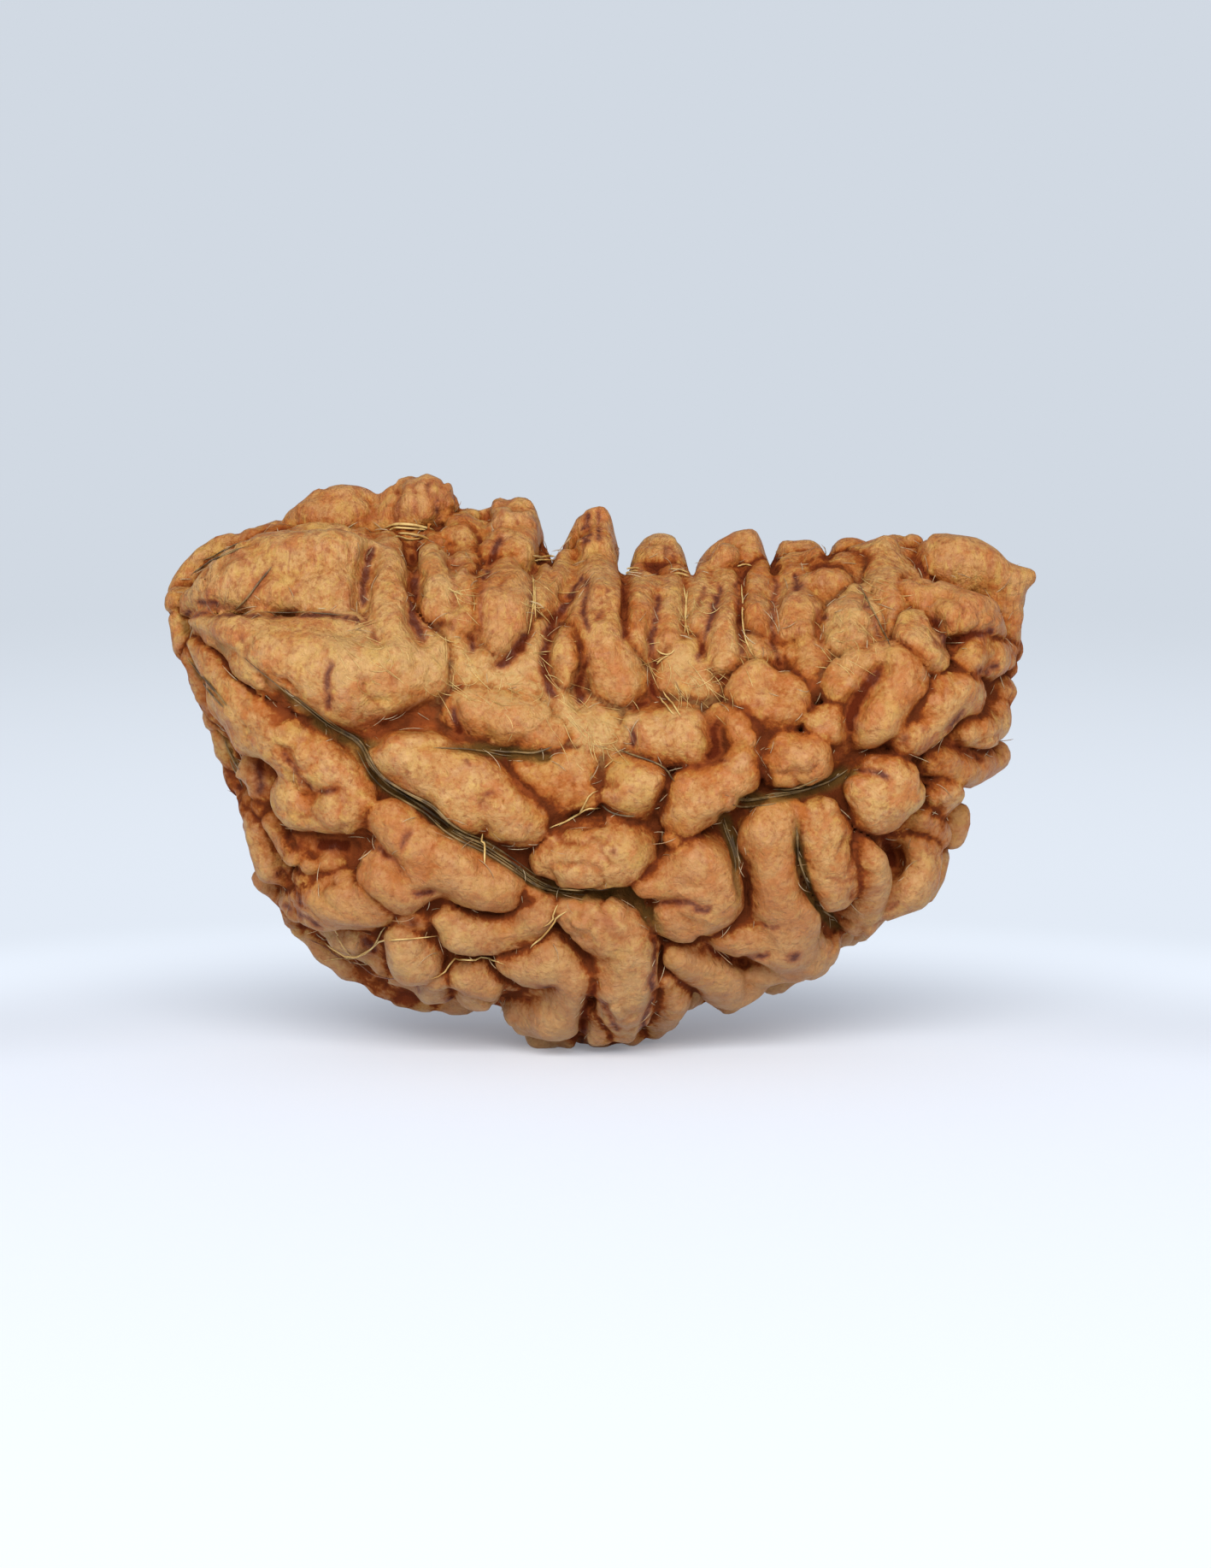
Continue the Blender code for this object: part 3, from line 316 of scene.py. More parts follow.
# pale fibrous skin between the teeth and in the middle of the front: x, z, size, strength
webbing = [
    (-4.2, 12.2, 1.1, .9), (-3.0, 11.9, 1.0, 1), (-1.8, 11.4, .8, .9), (-.8, 10.8, .9, 1),
    (.3, 10.3, .8, 1), (-.4, 9.8, .7, .8), (-2.0, 12.9, .7, .8), (-4.9, 12.9, .7, .7),
    (2.6, 12.3, .7, .8), (3.2, 11.9, .8, .8), (2.9, 14.1, .5, .8), (-2.15, 14.6, .45, .9),
    (-8.0, 13.1, 1.0, .7), (-6.8, 12.7, .8, .6), (8.4, 13.8, .9, .6), (7.8, 12.9, .8, .5),
    (4.7, 13.1, .5, .6), (1.4, 12.5, .5, .5), (-4.8, 14.9, .5, .5),
    (8.6, 14.9, .5, .6), (-5.2, 12.0, .6, .6),
]

hidden = {
    "centre": (.5, 8.8), "rimReach": 20, "rimSteps": 801,
    "slideAtRim": .2, "slideInMiddle": .4,   # radians the lobes slide round the seed
    "toothRun": ((15.1, .9), (14.1, 1), (13.1, .9), (12.3, .75)),
    "toothLean": .12, "toothLengthSpread": .25,
    "fillingTries": 2600, "packing": .86,
    "fillX": (-13.2, 13), "fillZ": (.5, 16.2), "fillRadius": (.4, .7), "fillLinks": (2, 6),
    "fillBend": .7, "linkStep": .75, "linkTaper": .05, "rimGap": .05,
    "backShare": .8, "backOnlyFrom": .6, "frontDepth": -.3,   # some near the rim go on the front
}

# knobs it rests on, pressed flat by the ground: x, y, z, radius
footKnobs = [
    (-1.75, -.35, .66, .76), (-1.1, -.2, .62, .72), (.1, -.3, .55, .6), (1.0, -.2, .58, .66),
    (-1.5, .9, .72, .82), (-.4, 1.1, .7, .8), (.8, 1.0, .7, .8), (-.3, .3, .75, .85),
]

# creases and pits inside lobes: width, depth, stain (dark paint along them: stains, and painted shade in
# the deep pits), then x, z along each
cracks = [
    (.15, .22, 1, (8.2, 10.5), (8.35, 11.1), (8.7, 11.6), (9.05, 12.0)),
    (.14, .60, 1, (-7.35, 16.1), (-7.5, 15.6), (-7.62, 15.0), (-7.7, 14.4)),
    (.08, .20, .8, (-7.55, 6.6), (-7.0, 6.25), (-6.6, 6.05)),
    (.08, .15, 1, (6.4, 15.3), (6.42, 14.85)),
    (.07, .12, .6, (-6.55, 18.1), (-6.5, 17.5), (-6.55, 17.0)),
    (.06, .10, .6, (-5.95, 17.9), (-5.95, 17.3)),
    (.06, .10, .6, (-5.5, 18.3), (-5.45, 17.8)),
    (.07, .12, .8, (-5.2, 17.8), (-5.25, 17.3), (-5.2, 16.9)),
    (.06, .10, .7, (-3.55, 17.55), (-3.6, 17.1)),
    (.05, .10, 1, (-.5, 16.9), (-.5, 16.3)),
    (.05, .10, 1, (-.35, 17.3), (-.32, 16.4)),
    (.05, .10, 1, (0, 17.3), (.02, 16.5)),
    (.05, .08, .8, (2.2, 16.3), (2.2, 15.8)),
    (.05, .08, .8, (2.45, 16.2), (2.45, 15.8)),
    (.06, .10, .5, (-11.7, 14.2), (-11.0, 15.0), (-10.5, 15.8)),
    (.08, .12, .9, (-13.4, 13.95), (-12.5, 14.1), (-11.5, 14.05), (-10, 14.05), (-8.7, 14.0),
     (-7.8, 13.85)),
    (.07, .20, .8, (-13.0, 14.4), (-12.3, 14.35), (-11.6, 14.15)),
    (.08, .25, .6, (-7.7, 14.4), (-7.5, 13.7), (-7.1, 13.1)),
    (.07, .14, .5, (-11.5, 13.5), (-11.5, 12.8)),
    (.09, .16, .8, (-8.7, 12.5), (-8.8, 11.9), (-8.8, 11.0)),
    (.10, .40, 1, (-6.0, 16.0), (-6.0, 15.4)),
    (.17, .60, 1, (-6.0, 15.2), (-6.0, 14.6)),
    (.12, .45, 1, (-6.05, 14.5), (-6.0, 13.8), (-5.7, 13.2)),
    (.09, .17, 1, (-3.2, 16.5), (-3.5, 15.8), (-3.75, 15.2)),
    (.08, .14, .6, (-3.8, 15.1), (-3.85, 14.2), (-3.8, 13.4)),
    (.07, .14, .5, (-4.75, 16.2), (-4.72, 15.2), (-4.7, 14.2)),
    (.14, .24, 1, (-2.4, 13.3), (-2.7, 12.8), (-3.2, 12.4)),
    (.12, .21, 1, (-4.1, 13.3), (-4.1, 12.9)),
    (.09, .18, .7, (-2.12, 15.6), (-2.13, 14.9), (-2.13, 14.3), (-2.2, 13.5)),
    (.09, .18, 1, (-.55, 15.2), (-.85, 14.8), (-1.1, 14.3)),
    (.17, .36, 1, (-1.15, 14.2), (-1.45, 13.8), (-1.65, 13.4)),
    (.12, .27, 1, (-1.65, 13.3), (-1.75, 12.6), (-1.7, 12.0), (-1.45, 11.4)),
    (.07, .16, .9, (-.35, 15.2), (-.4, 14.6), (-.42, 14.1), (-.33, 13.5)),
    (.05, .10, .6, (.35, 14.8), (.1, 14.3), (-.05, 13.9)),
    (.16, .50, 1, (-.6, 11.9), (-.6, 11.2)),
    (.08, .16, .8, (-.6, 11.9), (-.4, 12.6)),
    (.08, .21, .9, (.88, 15.7), (.86, 14.8), (.84, 14.0), (.85, 13.3)),
    (.09, .21, .9, (1.95, 14.6), (1.9, 13.9), (1.75, 13.3), (1.85, 12.3)),
    (.08, .15, .5, (2.8, 15.4), (2.8, 14.5), (2.75, 13.4)),
    (.08, .18, .9, (3.95, 14.9), (3.75, 14.2), (3.5, 13.4), (3.25, 12.6)),
    (.05, .10, .6, (3.45, 14.9), (3.2, 14.3)),
    (.08, .18, .8, (4.62, 15.4), (4.6, 14.5), (4.62, 13.5), (4.7, 12.7)),
    (.09, .18, .8, (5.72, 15.2), (5.7, 14.4), (5.7, 13.2), (5.85, 12.6)),
    (.15, .45, 1, (5.85, 12.5), (5.95, 12.45)),
    (.14, .40, 1, (3.95, 11.9), (4.05, 11.9)),
    (.12, .15, 1, (7.3, 13.95), (7.4, 13.95)),
    (.08, .17, .7, (8.5, 15.2), (8.7, 14.5), (9.0, 13.8), (9.25, 13.1)),
    (.08, .14, .6, (7.1, 14.3), (7.15, 13.6), (7.25, 13.0)),
    (.08, .16, 1, (1.7, 11.8), (1.9, 11.3)),
    (.07, .14, .9, (1.6, 11.2), (1.1, 10.9)),
    (.14, .50, 1, (9.15, 12.2), (8.85, 11.8), (8.5, 11.35), (8.3, 10.9), (8.2, 10.3)),
    (.09, .20, .8, (11.4, 10.3), (11.9, 10.9)),
    (.13, .35, 1, (10.9, 13.9), (11.2, 13.3), (11.4, 13.0), (12.0, 13.3), (12.8, 13.45)),
    (.10, .22, .8, (12.3, 12.05), (13.0, 12.35)),
    (.07, .14, 1, (8.5, 8.95), (9.0, 8.9), (9.4, 8.7)),
    (.20, .60, 1, (9.3, 6.7), (9.6, 5.9)),
    (.05, .08, .5, (8.35, 6.6), (8.3, 5.9), (8.1, 5.6)),
    (.05, .08, .5, (8.3, 5.1), (8.2, 4.7)),
    (.05, .10, .5, (7.4, 5.5), (8.2, 5.4), (8.9, 5.6)),
    (.05, .08, .7, (9.4, 4.4), (9.75, 4.65)),
    (.10, .22, .8, (11.2, 9.9), (12.5, 9.3)),
    (.12, .30, 1, (-4.7, 10.9), (-4.5, 10.2)),
    (.06, .10, .6, (-3.8, 7.9), (-3.7, 8.1), (-3.4, 8.25)),
    (.05, .08, .5, (-3.8, 7.75), (-3.3, 7.7)),
    (.07, .14, .6, (-2.7, 8.6), (-2.4, 8.3), (-2.2, 8.15)),
    (.08, .16, .9, (1.1, 10.3), (1.1, 9.8)),
    (.14, .40, 1, (3.9, 10.5), (3.7, 10.1), (3.9, 9.7), (3.6, 9.4)),
    (.08, .16, .7, (3.0, 9.0), (3.5, 9.2), (4.1, 9.3)),
    (.09, .22, .9, (1.6, 4.7), (2.3, 4.65), (2.9, 4.6), (3.3, 4.45), (3.6, 4.5)),
    (.12, .35, 1, (-11.6, 8.4), (-11.7, 8.4)),
    (.20, .50, .8, (-11.0, 8.2), (-11.0, 9.2)),
    (.22, .60, 1, (-9.0, 6.5), (-8.2, 6.5)),
    (.09, .22, .8, (-10.2, 9.5), (-9.9, 9.1), (-9.8, 8.8)),
    (.09, .22, .8, (-9.7, 8.6), (-9.0, 8.25), (-8.5, 8.35)),
    (.06, .12, .7, (-6.3, 6.6), (-6.05, 7.0)),
    (.06, .12, .7, (-6.4, 6.4), (-6.3, 6.9)),
    (.06, .12, .7, (-6.6, 6.1), (-6.45, 5.7)),
    (.09, .20, 1, (-6.0, 4.95), (-5.4, 5.0)),
    (.06, .12, .8, (-10.3, 5.8), (-9.9, 5.2), (-9.75, 4.6)),
    (.08, .20, .8, (-10.2, 4.55), (-9.6, 4.2), (-9.0, 3.8)),
    (.16, .45, 1, (-7.6, 3.5), (-7.35, 3.05)),
    (.05, .10, .6, (-3.4, 1.2), (-3.0, 1.9)),
    (.05, .10, .8, (-2.35, 1.5), (-2.25, 1.5)),
    (.10, .20, 1, (-.1, 2.0), (-.3, 1.4), (-.5, .9), (-.55, .1)),
    (.07, .16, .8, (.05, 1.5), (.4, .9), (.6, .5)),
    (.08, .14, .9, (1.8, 3.5), (1.9, 2.8), (1.75, 2.0), (1.8, 1.5), (1.5, .9), (1.4, .4)),
    (.08, .20, .9, (3.3, 3.5), (3.7, 3.1), (4.3, 2.8), (5, 2.85), (5.5, 3.0)),
    (.05, .10, .7, (5.3, 4.0), (5.9, 3.85)),
]

# dark spots, partly stains and partly painted shade in caves, pits and under overhanging lobes: size,
# strength, x, z
spots = [
    (.30, .8, 6.5, 15.0), (.12, .9, -4.5, 11.7), (.10, .8, -4.85, 11.55), (.10, .7, -4.3, 9.3),
    (.08, .7, -4.2, 9.1), (.10, .6, -4.7, 8.7), (.12, .6, -6.2, 8.9), (.16, .7, .5, 8.0),
    (.16, .7, 1.95, 8.5), (.14, 1, .55, 6.35), (.10, .7, 0, 6.0), (.10, .6, -.5, 6.0),
    (.10, .9, 9.45, 7.6), (.45, .8, -1.7, 1.9), (.30, .8, -4.75, 1.6), (.25, .7, -5.85, 1.9),
    (.22, .6, -6.2, 1.5), (.25, .6, -3.4, 1.3), (.25, .9, 6.4, 2.9), (.18, .7, -10.4, 5.6),
    (.3, .6, -6.0, 4.0), (.35, .5, -9.7, 6.7), (.55, .45, -8.5, 6.6), (.5, .35, -9.3, 6.9),
    (.6, .3, -11.1, 8.9), (.3, .5, -7.7, 6.9), (.35, .35, -6.0, 4.5), (.45, .3, 5.6, 11.6),
    (.4, .3, 5.0, 10.9), (.4, .3, 1.4, 8.3), (.3, .4, 9.4, 6.6), (.3, .35, 6.9, 11.6),
    (.7, .27, -9.6, 14.7), (.5, .27, -11.6, 14.8), (.5, .33, -8.0, 14.5), (.6, .24, -10.6, 15.2),
    (.8, .5, -7.0, 10.5), (.6, .5, -5.8, 10.6), (.5, .5, -8.4, 10.4), (.5, .5, 7.9, 9.7),
    (.35, .5, 8.15, 10.4), (.3, .5, 6.8, 11.2), (.35, .5, 11.0, 13.2), (.3, .5, 11.2, 13.7),
    (.3, .4, 12.6, 12.0), (.5, .4, 10.6, 9.6), (.3, .5, 9.9, 10.0), (.3, .45, -6.0, 15.2),
    (.25, .5, 10.4, 15.8), (.3, .4, 7.4, 12.6), (.3, .4, 5.9, 12.5), (.4, .4, -4.6, 10.0),
]

# long grooves that hold dried strands: how many, width, depth, x, z along each
grooves = [
    (9, .18, .18, (-13.7, 13.7), (-13, 13.4), (-12, 12.8), (-11.2, 12.2), (-10, 11.3),
     (-9.2, 10.7), (-8.5, 10.2), (-7.8, 9.8), (-7.2, 8.8), (-6.2, 8.1), (-5.5, 7.7),
     (-5, 7.2), (-4.4, 6.8), (-3.6, 6.4), (-2.3, 5.5), (-1.8, 5.2), (-.5, 5.0), (.9, 5.0),
     (1.3, 4.7), (1.6, 4.3), (2.0, 3.8)),
    (1, .13, .14, (-7.5, 9.8), (-5, 9.75), (-3.4, 9.6), (-1.7, 9.4)),
    (5, .18, .20, (4.1, 8.1), (5.0, 8.0), (6.5, 8.3), (7.5, 8.6), (8.3, 9)),
    (3, .13, .18, (4, 7.6), (4.4, 6.5), (4.5, 5.5), (4.6, 4.9)),
    (2, .12, .16, (6.4, 7.3), (6.5, 6.3), (6.8, 5.3), (7.0, 4.7), (7.4, 4.3), (7.8, 3.9)),
    (3, .08, .10, (-13.6, 12.8), (-13.0, 12.1), (-12.5, 11.5), (-12.2, 11.1), (-11.9, 10.8)),
    (2, .07, .08, (-12.65, 10.5), (-12.2, 10.0), (-12.0, 9.6), (-11.6, 8.8), (-11.4, 8.3)),
    (3, .10, .10, (-13.5, 15.1), (-13, 15.6), (-12.2, 16.0), (-11.2, 16.4)),
]


# smooth curve through points, each a row of numbers
def smoothPath(points, steps=4, closed=False):
    p = np.array(points, float)
    if len(p) < 2:
        return p
    if closed:
        q = np.vstack([p[-1:], p, p[:2]])
    else:
        q = np.vstack([2 * p[0] - p[1], p, 2 * p[-1] - p[-2]])
    t = (np.arange(steps) / steps)[:, None]
    rows = []
    for a, b, c, d in zip(q, q[1:], q[2:], q[3:]):
        bend = 2 * a - 5 * b + 4 * c - d
        twist = 3 * b - a - 3 * c + d
        rows.append(.5 * (2 * b + (c - a) * t + bend * t * t + twist * t ** 3))
    if not closed:
        rows.append(p[-1:])
    return np.vstack(rows)


def outlineDistance(x, z, edge):
    nearest = np.full(x.shape, 1e9)
    inside = np.zeros(x.shape, bool)
    for (ax, az), (bx, bz) in zip(edge, np.roll(edge, -1, 0)):
        dx, dz = bx - ax, bz - az
        t = np.clip(((x - ax) * dx + (z - az) * dz) / (dx * dx + dz * dz), 0, 1)
        nearest = np.minimum(nearest, np.hypot(x - ax - t * dx, z - az - t * dz))
        if dz:
            inside ^= ((az > z) != (bz > z)) & (x < ax + (z - az) * dx / dz)
    return np.where(inside, nearest, -nearest)


# map of the distance from the outline, softened along its middle ridge
flat = {"step": .1, "x": (-16, 16), "z": (-2, 21), "softening": 10}
flatX, flatZ = np.meshgrid(np.arange(*flat["x"], flat["step"]),
                           np.arange(*flat["z"], flat["step"]), indexing="ij")
flatMap = outlineDistance(flatX, flatZ, smoothPath(outline, 3, closed=True))
for softening in range(flat["softening"]):
    around = sum(np.roll(flatMap, s, a) for s in (-1, 1) for a in (0, 1))
    flatMap = (around + 4 * flatMap) / 8


def insideBy(x, z):
    fx = np.clip((np.asarray(x) - flat["x"][0]) / flat["step"], 0, flatMap.shape[0] - 1.001)
    fz = np.clip((np.asarray(z) - flat["z"][0]) / flat["step"], 0, flatMap.shape[1] - 1.001)
    i, j = fx.astype(int), fz.astype(int)
    fx, fz = fx - i, fz - j
    low = flatMap[i, j] * (1 - fx) + flatMap[i + 1, j] * fx
    high = flatMap[i, j + 1] * (1 - fx) + flatMap[i + 1, j + 1] * fx
    return low * (1 - fz) + high * fz


def slantAt(z):
    t = (np.asarray(z) - stone["slantFrom"]) / (stone["slantFull"] - stone["slantFrom"])
    t = np.clip(t, 0, 1)
    return stone["seamSlant"] * t * t * (3 - 2 * t)


def bodyDepth(x, z):
    rise = 1 - np.clip(insideBy(x, z) / stone["edgeRounding"], 0, 1)
    return stone["halfThickness"] * np.sqrt(np.clip(1 - rise * rise, 0, 1))


# the point at depth y that the camera sees at x, z of the lists
def fromPicture(x, z, y):
    seen = aim + np.array([x - view["pictureAim"][0], 0, 0]) + above * (z - view["pictureAim"][1])
    return eye + (seen - eye) * ((y - eye[1]) / (seen[1] - eye[1]))


def onFront(x, z, lift):
    y = 0
    for attempt in range(view["tries"]):
        point = fromPicture(x, z, y)
        depth = -float(bodyDepth(point[0], point[2])) - lift
        y = depth if attempt == 0 else .5 * (y + depth)
    return fromPicture(x, z, y)


def onBack(x, z, lift):
    depth = float(bodyDepth(x, z)) + lift
    return np.array([x, depth, z + float(slantAt(z)) * depth])


def rimDistance(angle):
    reach = np.linspace(0, hidden["rimReach"], hidden["rimSteps"])
    x = hidden["centre"][0] + math.cos(angle) * reach
    z = hidden["centre"][1] + math.sin(angle) * reach
    return reach[np.argmax(insideBy(x, z) < 0)]


def slid(x, z):
    dx, dz = x - hidden["centre"][0], z - hidden["centre"][1]
    angle = math.atan2(dz, dx)
    share = min(1, math.hypot(dx, dz) / rimDistance(angle))
    pole = math.atan2(outline[0][1] - hidden["centre"][1], outline[0][0] - hidden["centre"][0])
    fromPole = (angle - pole) % (2 * math.pi)
    slide = hidden["slideAtRim"] + hidden["slideInMiddle"] * (1 - share) ** 2
    angle += slide * math.sin(.5 * fromPole)
    reach = share * rimDistance(angle)
    return (hidden["centre"][0] + reach * math.cos(angle),
            hidden["centre"][1] + reach * math.sin(angle))


# every entry of a table as a list of chains
def grownTogether(table):
    return [entry if isinstance(entry, list) else [entry] for entry in table]


def listLobes():
    def swell(r, x, z):
        share = min(1, max(stone["swellAtRim"], float(insideBy(x, z)) / stone["swellFull"]))
        return r * (1 + (stone["swell"] - 1) * share) + stone["swellMore"] * share

    def sunk(lift, r, x, z):
        rim = min(1, max(0, float(insideBy(x, z)) / stone["standsOutFull"]))
        return lift + (stone["standsOut"] - stone["sinksIn"] * r) * rim

    rng = np.random.default_rng(stone["seed"])
    lower = bluntEnd + middle + pointedSide + underside
    lobes = []
    for table, sink in ((pointedEnd, 0), (frontTeeth, stone["teethSink"]), (lower, 0)):
        for group in grownTogether(table):
            lobes.append([smoothPath([(*onFront(x, z, sunk(lift - sink, r, x, z)), swell(r, x, z))
                                      for x, z, r in points]) for lift, *points in group])
    for group in grownTogether(backTeeth + rimLobes):
        lobes.append([smoothPath([(*fromPicture(x, z, y), swell(r, x, z)) for x, z, r in points])
                      for y, *points in group])
    for group in grownTogether(pointedBack + lower):
        lobes.append([smoothPath([(*onBack(*slid(x, z), sunk(lift, r, x, z)), swell(r, x, z))
                                  for x, z, r in points]) for lift, *points in group])
    for y, *points in sum(grownTogether(backTeeth), []):
        radius = max(p[2] for p in points)
        x = sum(p[0] for p in points) / len(points)
        lean = rng.uniform(-1, 1) * hidden["toothLean"]
        length = 1 + rng.uniform(-1, 1) * hidden["toothLengthSpread"]
        top = hidden["toothRun"][0][0]
        chain = []
        for z, share in hidden["toothRun"]:
            down = (top - z) * length
            chain.append((*onBack(x + lean * down, top - down, 0), radius * share))
        lobes.append([smoothPath(chain)])

    placed = np.vstack([chain for group in lobes for chain in group])
    for attempt in range(hidden["fillingTries"]):
        x, z = rng.uniform(*hidden["fillX"]), rng.uniform(*hidden["fillZ"])
        onBackSide = rng.random() < hidden["backShare"] or insideBy(x, z) > hidden["backOnlyFrom"]
        side = 1 if onBackSide else hidden["frontDepth"]
        radius = rng.uniform(*hidden["fillRadius"])
        heading = rng.uniform(0, 2 * math.pi)
        turn = rng.uniform(-hidden["fillBend"], hidden["fillBend"])
        chain = []
        for link in range(rng.integers(*hidden["fillLinks"])):
            place = onBack(x, z, 0)
            place[1] *= side
            gap = np.linalg.norm(placed[:, :3] - place, axis=1)
            tooClose = (gap < hidden["packing"] * (radius + placed[:, 3])).any()
            if insideBy(x, z) < hidden["rimGap"] or tooClose:
                break
            chain.append((*place, radius * (1 - hidden["linkTaper"] * link)))
            heading += turn
            x += hidden["linkStep"] * radius * math.cos(heading)
            z += hidden["linkStep"] * radius * math.sin(heading)
        if chain:
            lobes.append([smoothPath(chain)])
            placed = np.vstack([placed, chain])

    lobes += [[np.array([knob])] for knob in footKnobs]
    return lobes


lobes = listLobes()
print("lobes laid out:", len(lobes))


# the grid that the stone's distances are worked out on
step = stone["gridStep"]
gridLow = np.array(stone["gridLow"])
gridX, gridY, gridZ = [np.arange(low, high, step).astype(np.float32)
                       for low, high in zip(stone["gridLow"], stone["gridHigh"])]
gridShape = (len(gridX), len(gridY), len(gridZ))
farOff = 9                                       # further than anything is looked for


# soft random field, one value per grid point
def clouds(name, turn=0):
    size, seed = lumpiness[name]
    draw = np.random.default_rng(seed + turn)
    noise = draw.uniform(-1, 1, [int(n * step / size) + 3 for n in gridShape]).astype(np.float32)
    for axis, count in enumerate(gridShape):
        t = np.arange(count) * step / size
        i = t.astype(int)
        f = t - i
        f = (f * f * (3 - 2 * f)).astype(np.float32)
        f = f.reshape([-1 if a == axis else 1 for a in range(3)])
        noise = noise.take(i, axis) * (1 - f) + noise.take(i + 1, axis) * f
    return noise


# the part of the grid round some points
def cellsRound(points, margin):
    low = points[:, :3].min(0) - margin
    high = points[:, :3].max(0) + margin
    spans = []
    for a, ticks in enumerate((gridX, gridY, gridZ)):
        i, j = np.searchsorted(ticks, [low[a], high[a]])
        spans.append(slice(i, max(j, i + 1)))
    return tuple(spans)


def tubeDistance(px, py, pz, a, b):
    along = b[:3] - a[:3]
    length = along @ along + 1e-9
    t = np.clip(((px - a[0]) * along[0] + (py - a[1]) * along[1]
                 + (pz - a[2]) * along[2]) / length, 0, 1)
    gap = np.sqrt((px - a[0] - t * along[0]) ** 2 + (py - a[1] - t * along[1]) ** 2
                  + (pz - a[2] - t * along[2]) ** 2)
    return gap - (a[3] + t * (b[3] - a[3]))


def blendMin(a, b, width):
    h = np.clip(.5 + .5 * (b - a) / width, 0, 1)
    return b + (a - b) * h - width * h * (1 - h)


def growStone():
    bent = []
    fine = stone["fineWander"] * stone["wander"]
    for n, axis in enumerate(np.meshgrid(gridX, gridY, gridZ, indexing="ij")):
        bent.append(axis + stone["wander"] * clouds("wander", n) + fine * clouds("fineWander", n))
    bx, by, bz = bent

    rise = insideBy(bx, bz - slantAt(bz) * by).astype(np.float32)
    rise = 1 - np.minimum(rise, stone["edgeRounding"]) / stone["edgeRounding"]
    half, rounding = stone["halfThickness"], stone["edgeRounding"]
    q = np.sqrt(rise ** 2 + (by / half) ** 2) + 1e-6
    slope = np.sqrt((rise / rounding) ** 2 + (by / half ** 2) ** 2) / q + 1e-6
    core = ((q - 1) / slope - stone["coreRise"]).astype(np.float32)
    front = np.clip((stone["frontEnds"] - gridY) / stone["frontFadesOver"], 0, 1)[None, :, None]
    for x, z, size, lift in skinLevel:
        apart = (gridX[:, None, None] - x) ** 2 + (gridZ[None, None, :] - z) ** 2
        core -= (lift * np.exp(-apart / size ** 2) * front).astype(np.float32)

    shape = np.full(gridShape, farOff, np.float32)
    near = shape.copy()                          # distance to the nearest lobe
    second = near.copy()                         # and to the one next to it
    which = np.full(gridShape, -1, np.int16)
    for n, group in enumerate(lobes):
        whole = np.vstack(group)
        cells = cellsRound(whole, whole[:, 3].max() + stone["lobeReach"])
        found = np.full(bx[cells].shape, farOff, np.float32)
        for lobe in group:
            inner = cellsRound(lobe, lobe[:, 3].max() + stone["lobeReach"])
            part = bx[inner], by[inner], bz[inner]
            own = np.full(part[0].shape, farOff, np.float32)
            for a, b in list(zip(lobe, lobe[1:])) or [(lobe[0], lobe[0])]:
                own = np.minimum(own, tubeDistance(*part, a, b))
            place = tuple(slice(i.start - c.start, i.stop - c.start) for i, c in zip(inner, cells))
            found[place] = blendMin(found[place], own, stone["groupBlend"])
        old = near[cells]
        which[cells] = np.where(found < old, n, which[cells])
        second[cells] = np.minimum(second[cells], np.maximum(old, found))
        near[cells] = np.minimum(old, found)
        shape[cells] = blendMin(shape[cells], found, stone["lobeBlend"])

    high = np.clip((gridZ - stone["fusedFrom"]) / (stone["fusedFull"] - stone["fusedFrom"]), 0, 1)
    lowTop, highTop = stone["fusedTop"]
    high = high * np.clip((highTop - gridZ) / (highTop - lowTop), 0, 1)
    lowEnd, highEnd = stone["fusedEnd"]
    high = high[None, None, :] * np.clip((highEnd - gridX) / (highEnd - lowEnd), 0, 1)[:, None, None]
    high = high.astype(np.float32)
    width = stone["pressedBlend"] + (stone["fusedBlend"] - stone["pressedBlend"]) * high
    shape = np.minimum(shape, blendMin(near, second, width))
    shape = blendMin(shape, core, stone["coreBlend"])
    fine = stone["fineLumps"] * stone["lumps"]
    shape -= stone["lumps"] * clouds("lumps") + fine * clouds("fineLumps")
    rumpled = np.abs(clouds("rumple") + stone["fineRumple"] * clouds("fineRumple"))
    dented = np.clip(stone["dentsIn"] + clouds("dented"), 0, 1)
    wrinkle = dented * np.exp(-(rumpled / stone["dentWidth"]) ** 2)
    shape += stone["dents"] * wrinkle
    fades = np.clip(stone["creaseFade"] + stone["creaseSpread"] * clouds("fade"), stone["creaseLeast"], 1)
    depth = stone["creaseDepth"] + (stone["fusedCrease"] - stone["creaseDepth"]) * high
    shape += depth * fades * np.exp(-np.maximum(second - near, 0) / stone["creaseWidth"])
    return shape, near, second, which, wrinkle


def sampled(grid, points):
    f = (points - gridLow) / step
    f = np.clip(f, 0, np.array(grid.shape) - 1.001)
    i = f.astype(int)
    f = (f - i).astype(np.float32)
    total = 0
    for cx in (0, 1):
        for cy in (0, 1):
            for cz in (0, 1):
                weight = 1
                for a, c in enumerate((cx, cy, cz)):
                    weight = weight * (f[:, a] if c else 1 - f[:, a])
                total = total + weight * grid[i[:, 0] + cx, i[:, 1] + cy, i[:, 2] + cz]
    return total


# where the camera's rays through x, z of the lists first meet the stone
def seenOn(grid, picture):
    rays = np.array([fromPicture(x, z, 0) for x, z in picture]) - eye
    depths = np.arange(*view["depths"])
    points = eye + rays[:, None] * ((depths - eye[1])[None, :, None] / rays[:, None, 1:2])
    value = sampled(grid, points.reshape(-1, 3)).reshape(points.shape[:2])
    hit = value < 0
    first = hit.argmax(1)
    first = np.where(hit.any(1), first, len(depths) // 2)
    row = np.arange(len(points))
    before = value[row, np.maximum(first - 1, 0)]
    share = np.clip(before / (before - value[row, first] + 1e-9), 0, 1)
    start = points[row, np.maximum(first - 1, 0)]
    return start + (points[row, first] - start) * share[:, None]


